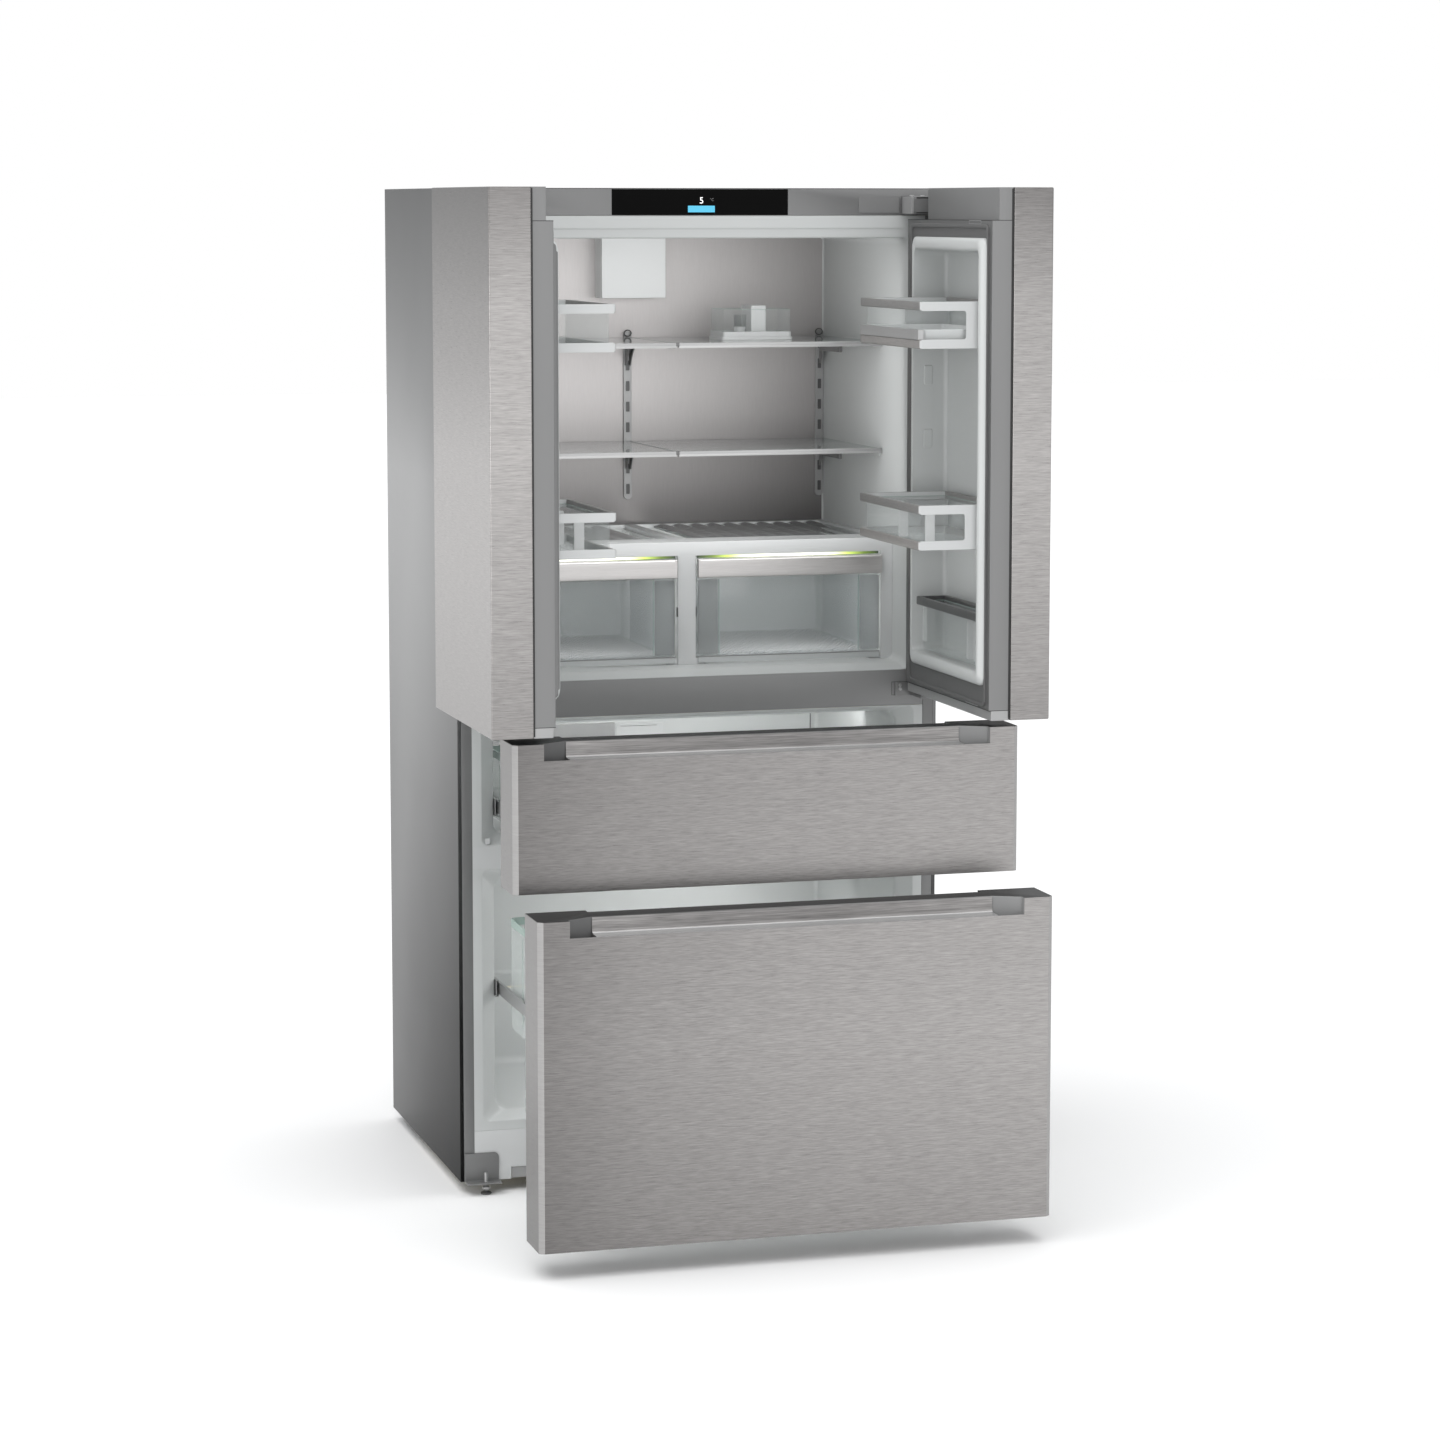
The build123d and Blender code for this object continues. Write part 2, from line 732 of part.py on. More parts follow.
# Under and before each glass shelf: curved brackets that hook on the rails, and the front trim
bracket_front = shelf_front + bracket_setback
with BuildPart() as shelf_supports:
    for top in shelf_tops:
        under = top - shelf_glass
        low = under - bracket_drop
        arm_z = under - bracket_arm
        curve_start = (rail_face - bracket_foot, low)
        curve_end = (rail_face - bracket_foot - bracket_rise, arm_z)
        for x in (-rail_x, -bracket_side, bracket_side, rail_x):
            with BuildSketch(Plane.YZ.offset(x - bracket_sheet / 2)):
                with BuildLine():
                    Line((rail_face, low), curve_start)
                    RadiusArc(curve_start, curve_end, -2 * bracket_rise)
                    Polyline(
                        curve_end,
                        (bracket_front, under - bracket_arm / 2),
                        (bracket_front, under),
                        (rail_face, under),
                        (rail_face, low),
                    )
                make_face()
            extrude(amount=bracket_sheet)
        trim_top = top + trim_proud
        pair(shelf_x, (shelf_front - trim_depth, shelf_front), (trim_top - trim_height, trim_top))
save(shelf_supports, "shelf_supports")

# White cover over the crispers: front face, posts, the frame of the fluted panes and the floor runners
face_back = crisper_front + cover_sheet
face_y = (crisper_front, face_back)
jamb = crisper_half + running_gap
crisper_floor = fridge_floor + crisper_rise
crisper_back = fridge_depth - crisper_rear_gap
cover_under = pane_under - cover_sheet
cover_face = cover_top - cover_face_height
runner_z = (fridge_floor, crisper_floor - running_gap)
outer_runner = crisper_half - 2 * runner_width
inner_runner = post_half + 2 * runner_width
with BuildPart() as crisper_cover:
    block(spread(fridge_half), (crisper_front, shelf_wall), (cover_under, cover_top))
    view_y = (pane_y[0] + pane_seat, pane_y[1] - pane_seat)
    pair((pane_inner, pane_outer), pane_y, (pane_under, cover_top), Mode.SUBTRACT)
    view_x = (pane_inner + pane_seat, pane_outer - pane_seat)
    pair(view_x, view_y, (cover_under, cover_top), Mode.SUBTRACT)
    block(spread(fridge_half), face_y, (cover_face, cover_top))
    pair((jamb, fridge_half), face_y, (fridge_floor, cover_top))
    block(spread(post_half), face_y, (fridge_floor, cover_top))
    block(spread(cover_sheet / 2), (face_back, crisper_back), (fridge_floor, cover_top - cover_sheet))
    pair((outer_runner, outer_runner + runner_width), (face_back, crisper_back), runner_z)
    pair((inner_runner - runner_width, inner_runner), (face_back, crisper_back), runner_z)
    key_y = (face_back, face_back + cover_sheet)
    pair((outer_runner, jamb + runner_key), key_y, runner_z)
    pair((0, inner_runner), key_y, runner_z)
save(crisper_cover, "crisper_cover")

with BuildPart() as crisper_lights:
    light_x = (post_half + light_end_gap, crisper_half - light_end_gap)
    pair(light_x, (face_back, face_back + light_depth), (cover_face - light_height, cover_face))
    pair(light_x, (face_back, face_back + light_plate), (cover_face, cover_under))
save(crisper_lights, "crisper_lights")

with BuildPart() as air_filter_box:
    filter_z = (fridge_ceiling - filter_height, fridge_ceiling)
    block(spread(filter_width / 2), (shelf_wall - filter_depth, shelf_wall), filter_z)
    fillet(air_filter_box.edges().group_by(Axis.Y)[0].filter_by(Axis.Z), filter_corner)
save(air_filter_box, "air_filter_box")

with BuildPart() as shelf_tray:
    tray_x = (tray_left, tray_left + tray_width)
    tray_y = (shelf_back - tray_rear_gap - tray_depth, shelf_back - tray_rear_gap)
    tray_z = (shelf_tops[0], shelf_tops[0] + tray_base)
    block(tray_x, tray_y, tray_z)
    hollow_x = (tray_x[0] + tray_wall, tray_x[1] - tray_wall)
    hollow_y = (tray_y[0] + tray_wall, tray_y[1] - tray_wall)
    block(hollow_x, hollow_y, (tray_z[0] + tray_wall, tray_z[1]), Mode.SUBTRACT)
    block_x = (tray_left + tray_block_left, tray_left + tray_block_left + tray_block_width)
    block_y = (tray_y[0] + tray_block_inset, tray_y[1] - tray_block_inset)
    block(block_x, block_y, (tray_z[0] + tray_wall, tray_z[1] + tray_block_height))
save(shelf_tray, "shelf_tray")


def slide_members(start, height, inner, outer):
    # one slide member on each side, tucked in by its own step in height
    step = slide_step * (bay_half - outer) / slide_sheet
    slide_length = bay_depth - slide_start - slide_end_gap
    pair((inner, outer), (start, start + slide_length), (height + step, height + slide_height - step))


upper_slide_z = upper_bay[0] + upper_slide_rise
lower_slide_z = lower_bay[0] + lower_slide_rise
middle_outer = bay_half - slide_sheet - running_gap
moving_outer = middle_outer - slide_sheet - running_gap
basket_half = moving_outer - slide_sheet
with BuildPart() as drawer_rails:
    for height in (upper_slide_z, lower_slide_z):
        slide_members(slide_start, height, bay_half - slide_sheet, bay_half)
save(drawer_rails, "drawer_rails")

with BuildPart() as plinth_panel:
    block(spread(frame_inner), (0, frame_sheet), (shell_bottom, plinth_top))
    notch_z = (shell_bottom, shell_bottom + plinth_notch_height)
    block(spread(side - plinth_notch_side), (0, frame_sheet), notch_z, Mode.SUBTRACT)
save(plinth_panel, "plinth_panel")

# Folded brackets that carry the screw feet
foot_x = side - foot_side
foot_y = -foot_forward
with BuildPart() as foot_brackets:
    flange_z = (bracket_bottom, bracket_bottom + bracket_plate)
    plate_x = (side - bracket_side_inner, side - bracket_side_outer)
    pair(plate_x, (-bracket_plate, 0), (bracket_bottom, bracket_bottom + bracket_height))
    pair(plate_x, (-bracket_forward, 0), flange_z)
    top_edges = foot_brackets.edges().filter_by(Axis.Y).group_by(Axis.Z)[-1]
    fillet(top_edges.sort_by(Axis.X)[1:3], bracket_corner)
    for hand in (-1, 1):
        upright(hand * foot_x, foot_y, foot_stem_radius + pin_clearance, flange_z, Mode.SUBTRACT)
save(foot_brackets, "foot_brackets")

for hand, name in ((-1, "foot_left"), (1, "foot_right")):
    with BuildPart() as foot:
        upright(hand * foot_x, foot_y, foot_radius, (0, foot_pad))
        chamfer(foot.edges().group_by(Axis.Z)[-1], foot_bevel)
        upright(hand * foot_x, foot_y, foot_stem_radius, (foot_pad - cut_over, foot_stem_top))
        chamfer(foot.edges().group_by(Axis.Z)[-1], foot_stem_bevel)
    save(foot, name)

roller_x = side - roller_side
roller_y = cabinet_depth - roller_rear
axle_half = roller_x + roller_width + axle_overhang
with BuildPart() as rear_rollers:
    across(spread(axle_half), roller_y, roller_radius, axle_radius)
    for hand in (-1, 1):
        wheel = (hand * roller_x, hand * (roller_x + roller_width))
        across(wheel, roller_y, roller_radius, roller_radius)
save(rear_rollers, "rear_rollers")

# Machine room: base plate with the roller bearings, compressor and finned condenser
compressor_y = cabinet_depth - compressor_rear
condenser_y = machine_room_front + condenser_front
condenser_start = -bay_half + condenser_side
condenser_end = condenser_start + condenser_pitch * condenser_fins
condenser_middle = condenser_y + condenser_depth / 2
with BuildPart() as cooling_unit:
    block(spread(inner_side), (machine_room_front, room_rear), (base_plate_bottom, base_top))
    wheel_slot = (roller_x - wheel_slot_gap, roller_x + roller_width + wheel_slot_gap)
    slot_y = centred(roller_y, 2 * (roller_radius + wheel_slot_gap))
    pair(wheel_slot, slot_y, (base_plate_bottom, base_top), Mode.SUBTRACT)
    for ear_x in (roller_x - ear_inner_gap - ear_sheet, roller_x + roller_width + ear_outer_gap):
        ear_z = (roller_radius - ear_half, base_top)
        pair((ear_x, ear_x + ear_sheet), centred(roller_y, 2 * ear_half), ear_z)
    across(spread(side), roller_y, roller_radius, axle_radius + pin_clearance, Mode.SUBTRACT)
    compressor_z = (base_top + compressor_lift, base_top + compressor_lift + compressor_height)
    upright(compressor_x, compressor_y, compressor_radius, compressor_z)
    fillet(cooling_unit.edges().group_by(Axis.Z)[-1], compressor_crown)
    for x in (-compressor_foot_place, compressor_foot_place):
        for y in (-compressor_foot_place, compressor_foot_place):
            foot_z = (base_top, base_top + compressor_foot_height)
            upright(compressor_x + x, compressor_y + y, compressor_foot_radius, foot_z)
    middle_z = base_top + condenser_height / 2
    fins = [
        (condenser_start + condenser_pitch * (fin + 0.5), condenser_middle, middle_z)
        for fin in range(condenser_fins)
    ]
    with Locations(*fins):
        Box(fin_sheet, condenser_depth, condenser_height)
    middle_row = (condenser_rows - 1) / 2
    for row in range(condenser_rows):
        tube_z = middle_z + condenser_row_pitch * (row - middle_row)
        end = compressor_x if row == 1 else condenser_end
        across((condenser_start, end), condenser_middle, tube_z, tube_radius)
save(cooling_unit, "cooling_unit")

# Evaporator in the duct behind the lower bay, with the fan's motor above it
evaporator_y = (bay_foam_back + evaporator_gap, duct_back - evaporator_gap)
evaporator_half = bay_half - evaporator_side
fan_y = bay_foam_back + hub_front_gap
fan_z = step_height + fan_rise
with BuildPart() as evaporator:
    middle_y = (evaporator_y[0] + evaporator_y[1]) / 2
    middle_z = step_under + evaporator_height / 2
    fins = [
        (evaporator_pitch * (fin - (evaporator_fins - 1) / 2), middle_y, middle_z)
        for fin in range(evaporator_fins)
    ]
    with Locations(*fins):
        Box(fin_sheet, evaporator_y[1] - evaporator_y[0], evaporator_height)
    for row in range(evaporator_rows):
        tube_z = middle_z + evaporator_row_pitch * (row - (evaporator_rows - 1) / 2)
        across(spread(evaporator_half), middle_y, tube_z, evaporator_tube_radius)
    lengthwise(0, (fan_y + hub_length + motor_gap, duct_back), fan_z, motor_radius)
    lengthwise(0, (fan_y - shaft_over, duct_back), fan_z, shaft_radius)
save(evaporator, "evaporator")

fan_plane = Plane(origin=(0, fan_y + hub_length / 2, fan_z), x_dir=(1, 0, 0), z_dir=(0, -1, 0))
with BuildPart(fan_plane) as evaporator_fan:
    Cylinder(hub_radius, hub_length)
    blade_length = fan_radius - hub_radius + cut_over
    with PolarLocations(fan_radius - blade_length / 2, fan_blades):
        Box(blade_length, fan_blade_sheet, hub_length, rotation=(fan_blade_tilt, 0, 0))
    Cylinder(shaft_radius + pin_clearance, 2 * hub_length, mode=Mode.SUBTRACT)
save(evaporator_fan, "evaporator_fan")


def door_block(hand, away, depth, z, mode=Mode.ADD):
    # a box in an open door, given by where it lies when shut: away from the middle, and in depth
    x = (hand * (fold_x - depth[0]), hand * (fold_x - depth[1]))
    block(x, (away[0] - fold_y, away[1] - fold_y), z, mode)


# Places in a door, from the cabinet's middle to its side and from the bottom up, as when it is shut
door_away = (door_half_gap, side)
door_z = (door_bottom, cabinet_height)
core_away = (door_half_gap + skin_sheet, side - skin_sheet)
core_z = (door_bottom + skin_sheet, cabinet_height - skin_sheet)
neck_away = (door_half_gap + shadow_depth, side - shadow_depth)
neck_z = (door_bottom + shadow_depth, cabinet_height - shadow_depth)
frame_away = (door_half_gap + inner_frame_inset, side - inner_frame_inset)
frame_bottom = door_bottom + inner_frame_rise
top_plate = (frame_front, frame_front + top_plate_depth)
seal_away = (door_half_gap + seal_free_inset, side - seal_hinge_inset)
seal_z = (door_bottom + seal_bottom_inset, cabinet_height - seal_top_inset)
liner_away = (door_half_gap + liner_free_inset, side - liner_hinge_inset)
liner_z = (door_bottom + liner_bottom_inset, cabinet_height - liner_top_inset)
recess_away = (liner_away[0] + recess_free_inset, liner_away[1] - recess_hinge_inset)
recess_z = (liner_z[0] + recess_end_inset, liner_z[1] - recess_end_inset)
niche_away = (recess_away[0] - liner_wall, recess_away[1] + liner_wall)
niche_z = (recess_z[0] - liner_wall, recess_z[1] + liner_wall)
niche_back = -recess_depth - liner_wall
pocket_away = (pivot_x - arm_pocket, side)
pocket_depth = (pivot_y - arm_pocket_depth, 0)
pocket_z = (inner_frame_top, cabinet_height)

# Door bins: low, middle and top, each as its height range and its front
bin_away = (recess_away[0] + bin_free_gap, recess_away[1] - bin_hinge_gap)
bin_back = -recess_depth + bin_rear_gap
low_bin = (recess_z[0] + low_bin_rise, recess_z[0] + low_bin_rise + low_bin_height)
middle_bin = (low_bin[1] + middle_bin_gap, low_bin[1] + middle_bin_gap + middle_bin_height)
top_bin = (recess_z[1] - top_bin_drop - top_bin_height, recess_z[1] - top_bin_drop)
bins = (
    (top_bin, bin_back + bin_depth),
    (middle_bin, bin_back + bin_depth),
    (low_bin, bin_back + low_bin_depth),
)


def bin_frame(hand, z, front):
    # two rail rings joined by an end plate on each side
    rings = ((z[0], z[0] + rail_height), (z[1] - rail_height, z[1]))
    inner = (bin_away[0] + rail_width, bin_away[1] - rail_width)
    end_depth = (bin_back, min(bin_back + bin_end_depth, front))
    for ring in rings:
        door_block(hand, bin_away, (bin_back, front), ring)
    door_block(hand, (bin_away[0], bin_away[0] + bin_end_sheet), end_depth, z)
    door_block(hand, (bin_away[1] - bin_end_sheet, bin_away[1]), end_depth, z)
    for ring in rings:
        door_block(hand, inner, (bin_back + rail_width, front - rail_width), ring, Mode.SUBTRACT)


def bin_box(hand, z, front):
    # the clear box inside the rails
    away = (bin_away[0] + rail_width, bin_away[1] - rail_width)
    depth = (bin_back + rail_width, front - rail_width)
    top = z[1] - rail_height / 2
    door_block(hand, away, depth, (z[0], top))
    inner = (away[0] + bin_wall, away[1] - bin_wall)
    hollow = (depth[0] + bin_wall, depth[1] - bin_wall)
    door_block(hand, inner, hollow, (z[0] + bin_wall, top), Mode.SUBTRACT)


# The two doors, mirror images of each other
for hand, door in ((-1, "door_left"), (1, "door_right")):
    with BuildPart() as door_skin:
        door_block(hand, door_away, (-door_thickness, skin_rear), door_z)
        door_block(hand, core_away, (-door_thickness + skin_sheet, skin_rear), core_z, Mode.SUBTRACT)
        door_block(hand, pocket_away, pocket_depth, pocket_z, Mode.SUBTRACT)
        fold = (door_bottom, door_bottom + skin_sheet)
        upright(hand * pivot_x, pivot_y, pin_radius + skin_hole_gap, fold, Mode.SUBTRACT)
    save(door_skin, f"{door}_skin")

    with BuildPart() as door_body:
        door_block(hand, core_away, (-door_thickness + skin_sheet, skin_rear), core_z)
        door_block(hand, neck_away, (skin_rear, frame_front), neck_z)
        door_block(hand, frame_away, (frame_front, frame_rear), (frame_bottom, inner_frame_top))
        door_block(hand, frame_away, top_plate, pocket_z)
        cap_depth = (frame_front, frame_rear - bottom_cap_setback)
        door_block(hand, frame_away, cap_depth, (door_bottom, frame_bottom))
        door_block(hand, pocket_away, pocket_depth, pocket_z, Mode.SUBTRACT)
        door_block(hand, niche_away, (niche_back, 0), niche_z, Mode.SUBTRACT)
        bore_length = pin_engagement + bore_end_gap
        for low in (inner_frame_top - bore_length, door_bottom):
            bore_z = (low, low + bore_length)
            upright(hand * pivot_x, pivot_y, pin_radius + pin_clearance, bore_z, Mode.SUBTRACT)
    save(door_body, f"{door}_body")

    with BuildPart() as door_liner:
        door_block(hand, liner_away, (frame_rear, 0), liner_z)
        rib_z = (liner_z[0] + liner_rib_end, liner_z[1] - liner_rib_end)
        door_block(hand, (liner_away[0] + liner_rib_edge, recess_away[0]), (0, liner_rib), rib_z)
        door_block(hand, niche_away, (niche_back, frame_rear), niche_z)
        door_block(hand, recess_away, (-recess_depth, liner_rib), recess_z, Mode.SUBTRACT)
        lug = (-bin_lug_rear - bin_lug_depth / 2, -bin_lug_rear + bin_lug_depth / 2)
        for z, front in bins:
            lug_z = (z[0] + bin_lug_inset, z[1] - bin_lug_inset)
            door_block(hand, (recess_away[0], bin_away[0]), lug, lug_z)
            door_block(hand, (bin_away[1], recess_away[1]), lug, lug_z)
    save(door_liner, f"{door}_liner")

    with BuildPart() as door_seal:
        door_block(hand, seal_away, (frame_rear, -running_gap), seal_z)
        door_block(hand, liner_away, (frame_rear, -running_gap), liner_z, Mode.SUBTRACT)
    save(door_seal, f"{door}_gasket")

    with BuildPart() as bin_frames:
        for z, front in bins:
            bin_frame(hand, z, front)
    save(bin_frames, f"{door}_bin_frames")

    with BuildPart() as bin_glass:
        for z, front in bins:
            bin_box(hand, z, front)
    save(bin_glass, f"{door}_bin_glass")


def recess_outline(grow, nose):
    # plan of the grip recess behind its open front, widened by a wall thickness
    half = side - grip_side + grow
    depth = grip_depth + grow
    return [
        (-half, nose),
        (-half, grip_straight),
        (-half + grip_end_run, depth),
        (half - grip_end_run, depth),
        (half, grip_straight),
        (half, nose),
    ]


def recess_cut(front, z, grow):
    # cuts the grip recess, open at the front and the top, down to a height
    points = [(x, front + y) for x, y in recess_outline(grow, -cut_over)]
    prism(Plane.XY.offset(z[0]), points, z[1] - z[0], Mode.SUBTRACT)


def front_outline(front, inset):
    # plan of a drawer front with its bevelled corners
    half = side - inset
    bevel = front_chamfer - 0.6 * inset
    rear = front + front_depth
    nose = front + inset
    return [
        (-half, rear),
        (-half, nose + bevel),
        (-half + bevel, nose),
        (half - bevel, nose),
        (half, nose + bevel),
        (half, rear),
    ]


def basket_profile(start, z, wall, lower):
    # side view of a basket or, drawn in by its wall, of its hollow; the lower one steps up at its rear
    end = start + bay_depth - basket_front_gap - basket_rear_gap
    front = start + wall
    rear = end - wall
    if not lower:
        return [(front, z[0] + wall), (rear, z[0] + wall), (rear, z[1]), (front, z[1])]
    heel = start + step_depth - basket_front_gap - basket_step_gap
    ledge = step_height + basket_over_step
    return [
        (front, z[0] + wall),
        (heel - wall, z[0] + wall),
        (heel - wall, ledge + wall),
        (rear, ledge + wall),
        (rear, z[1]),
        (front, z[1]),
    ]


upper_low = upper_bay[0] + upper_basket_rise
upper_basket = (upper_low, upper_low + upper_basket_height)
lower_basket = (lower_bay[0] + lower_basket_rise, lower_bay[1] - lower_basket_drop)
drawers = (
    ("upper_drawer", upper_pull, upper_front_bottom, upper_front_height, upper_slide_z, upper_basket),
    ("lower_drawer", lower_pull, lower_front_bottom, lower_front_height, lower_slide_z, lower_basket),
)
for drawer, pull, low, tall, slide_z, basket_z in drawers:
    high = low + tall
    front = -door_thickness - pull
    floor = high - grip_height - grip_floor_drop
    rear = front + front_depth
    plate_rear = -pull - seal_depth
    seal_face = -pull - running_gap
    rebate = (spread(side - rebate_side), (rear - rebate_depth, rear), (high - rebate_height, high))
    plate_z = (low + front_plate_rise, high - rebate_height)
    with BuildPart() as drawer_skin:
        prism(Plane.XY.offset(low), front_outline(front, 0), tall)
        prism(Plane.XY.offset(low + skin_sheet), front_outline(front, skin_sheet), tall, Mode.SUBTRACT)
        recess_cut(front, (high - grip_height, high), 0)
    save(drawer_skin, f"{drawer}_skin")

    # foam core and the plate behind it, with room for the grip housing
    with BuildPart() as drawer_body:
        core_height = tall - skin_sheet - grip_wall
        prism(Plane.XY.offset(low + skin_sheet), front_outline(front, skin_sheet), core_height)
        recess_cut(front, (floor - grip_wall, high), grip_wall)
        block(spread(side - front_plate_inset), (rear, plate_rear), plate_z)
        block(*rebate, Mode.SUBTRACT)
    save(drawer_body, f"{drawer}_body")

    with BuildPart() as grip_housing:
        prism(Plane.XY.offset(high - grip_wall), front_outline(front, skin_sheet), grip_wall)
        shell = [(x, front + y) for x, y in recess_outline(grip_wall, skin_sheet)]
        prism(Plane.XY.offset(floor - grip_wall), shell, high - floor)
        recess_cut(front, (floor, high), 0)
        lip = (front + skin_sheet, front + skin_sheet + grip_wall)
        block(spread(side - grip_side), lip, (floor - grip_wall, high - grip_height))
        block(*rebate, Mode.SUBTRACT)
    save(grip_housing, f"{drawer}_grip_housing")

    with BuildPart() as grip_strip:
        strip_half = side - grip_side - grip_end_run - grip_strip_end_gap
        strip_y = (front + grip_depth - grip_strip_sheet, front + grip_depth)
        block(spread(strip_half), strip_y, (floor, high - grip_strip_end_gap))
    save(grip_strip, f"{drawer}_grip_strip")

    with BuildPart() as drawer_seal:
        seal_y = (plate_rear, seal_face)
        seal_low = max(plate_z[0], plinth_top) + drawer_seal_edge
        seal_high = plate_z[1] - drawer_seal_edge
        block(spread(side - seal_hinge_inset), seal_y, (seal_low, seal_high))
        hole = spread(side - seal_hinge_inset - drawer_seal_width)
        hole_z = (seal_low + drawer_seal_width, seal_high - drawer_seal_width)
        block(hole, seal_y, hole_z, Mode.SUBTRACT)
    save(drawer_seal, f"{drawer}_gasket")

    # basket, with the arms that carry it on the front
    with BuildPart() as drawer_basket:
        start = basket_front_gap - pull
        lower = drawer == "lower_drawer"
        prism(Plane.YZ.offset(-basket_half), basket_profile(start, basket_z, 0, lower), 2 * basket_half)
        inner_half = basket_half - basket_wall
        hollow = basket_profile(start, basket_z, basket_wall, lower)
        prism(Plane.YZ.offset(-inner_half), hollow, 2 * inner_half, Mode.SUBTRACT)
        arm_low = slide_z + slide_height
        arm = (basket_half - basket_arm_height, basket_half)
        pair(arm, (plate_rear, start + cut_over), (arm_low, arm_low + basket_arm_height))
    save(drawer_basket, f"{drawer}_basket")

    with BuildPart() as moving_rails:
        slide_members(slide_start - pull, slide_z, basket_half, moving_outer)
    save(moving_rails, f"{drawer}_rails")

    with BuildPart() as middle_rails:
        slide_members(slide_start - pull / 2, slide_z, middle_outer - slide_sheet, middle_outer)
    save(middle_rails, f"{drawer}_middle_rails")

# The two clear crisper drawers with their handle bars
crisper_top = crisper_floor + crisper_height
crisper_inner = post_half + crisper_post_gap
for hand, name in ((-1, "crisper_left"), (1, "crisper_right")):
    crisper_x = (hand * crisper_inner, hand * crisper_half)
    with BuildPart() as crisper_box:
        block(crisper_x, (crisper_front, crisper_back), (crisper_floor, crisper_top))
        hollow_x = (hand * (crisper_inner + crisper_wall), hand * (crisper_half - crisper_wall))
        hollow_y = (crisper_front + crisper_wall, crisper_back - crisper_wall)
        block(hollow_x, hollow_y, (crisper_floor + crisper_wall, crisper_top), Mode.SUBTRACT)
    save(crisper_box, f"{name}_box")

    with BuildPart() as crisper_handle:
        handle_z = (crisper_top - handle_below, crisper_top + handle_above)
        bar_front = crisper_front - handle_depth
        block(crisper_x, (bar_front, crisper_front), handle_z)
        finger_x = (hand * (crisper_inner + handle_lip), hand * (crisper_half - handle_lip))
        finger_z = (handle_z[0], handle_z[1] - handle_lip)
        block(finger_x, (bar_front + handle_lip, crisper_front), finger_z, Mode.SUBTRACT)
    save(crisper_handle, f"{name}_handle")
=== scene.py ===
import json
import math
import bmesh
import bpy
from mathutils import Matrix, Vector


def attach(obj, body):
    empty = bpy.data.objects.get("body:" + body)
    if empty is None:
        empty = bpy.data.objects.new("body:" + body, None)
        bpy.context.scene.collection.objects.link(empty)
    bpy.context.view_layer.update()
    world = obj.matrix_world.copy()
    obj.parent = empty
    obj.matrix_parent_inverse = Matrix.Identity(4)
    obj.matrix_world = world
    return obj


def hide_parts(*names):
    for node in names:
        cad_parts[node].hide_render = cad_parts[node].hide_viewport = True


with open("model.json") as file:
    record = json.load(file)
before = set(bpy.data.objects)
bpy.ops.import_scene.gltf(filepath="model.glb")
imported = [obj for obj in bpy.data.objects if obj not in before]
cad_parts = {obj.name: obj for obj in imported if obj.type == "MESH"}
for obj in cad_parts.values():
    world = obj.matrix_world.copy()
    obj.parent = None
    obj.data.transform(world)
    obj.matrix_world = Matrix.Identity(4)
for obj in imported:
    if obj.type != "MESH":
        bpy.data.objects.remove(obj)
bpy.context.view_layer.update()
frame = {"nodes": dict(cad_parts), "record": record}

nodes = frame["nodes"]
mm = 0.001
print("packed frame loaded, nodes:", len(nodes))


# shader helpers

def plug(tree, socket, value):
    if isinstance(value, Wire):
        tree.links.new(value.socket, socket)
    elif socket.type == "RGBA" and len(value) == 3:
        socket.default_value = (*value, 1)
    else:
        socket.default_value = value


class Wire:
    # one output of a shader node; arithmetic on it adds Math nodes
    def __init__(self, tree, socket):
        self.tree = tree
        self.socket = socket

    def maths(self, operation, first, second):
        node = self.tree.nodes.new("ShaderNodeMath")
        node.operation = operation
        plug(self.tree, node.inputs[0], first)
        plug(self.tree, node.inputs[1], second)
        return Wire(self.tree, node.outputs[0])

    def __add__(self, other):
        return self.maths("ADD", self, other)

    def __radd__(self, other):
        return self.maths("ADD", other, self)

    def __sub__(self, other):
        return self.maths("SUBTRACT", self, other)

    def __rsub__(self, other):
        return self.maths("SUBTRACT", other, self)

    def __mul__(self, other):
        return self.maths("MULTIPLY", self, other)

    def __rmul__(self, other):
        return self.maths("MULTIPLY", other, self)

    def __truediv__(self, other):
        return self.maths("DIVIDE", self, other)

    def __rtruediv__(self, other):
        return self.maths("DIVIDE", other, self)

    def __pow__(self, other):
        return self.maths("POWER", self, other)

    def __rpow__(self, other):
        return self.maths("POWER", other, self)

    def __abs__(self):
        return self.maths("ABSOLUTE", self, 0.0)


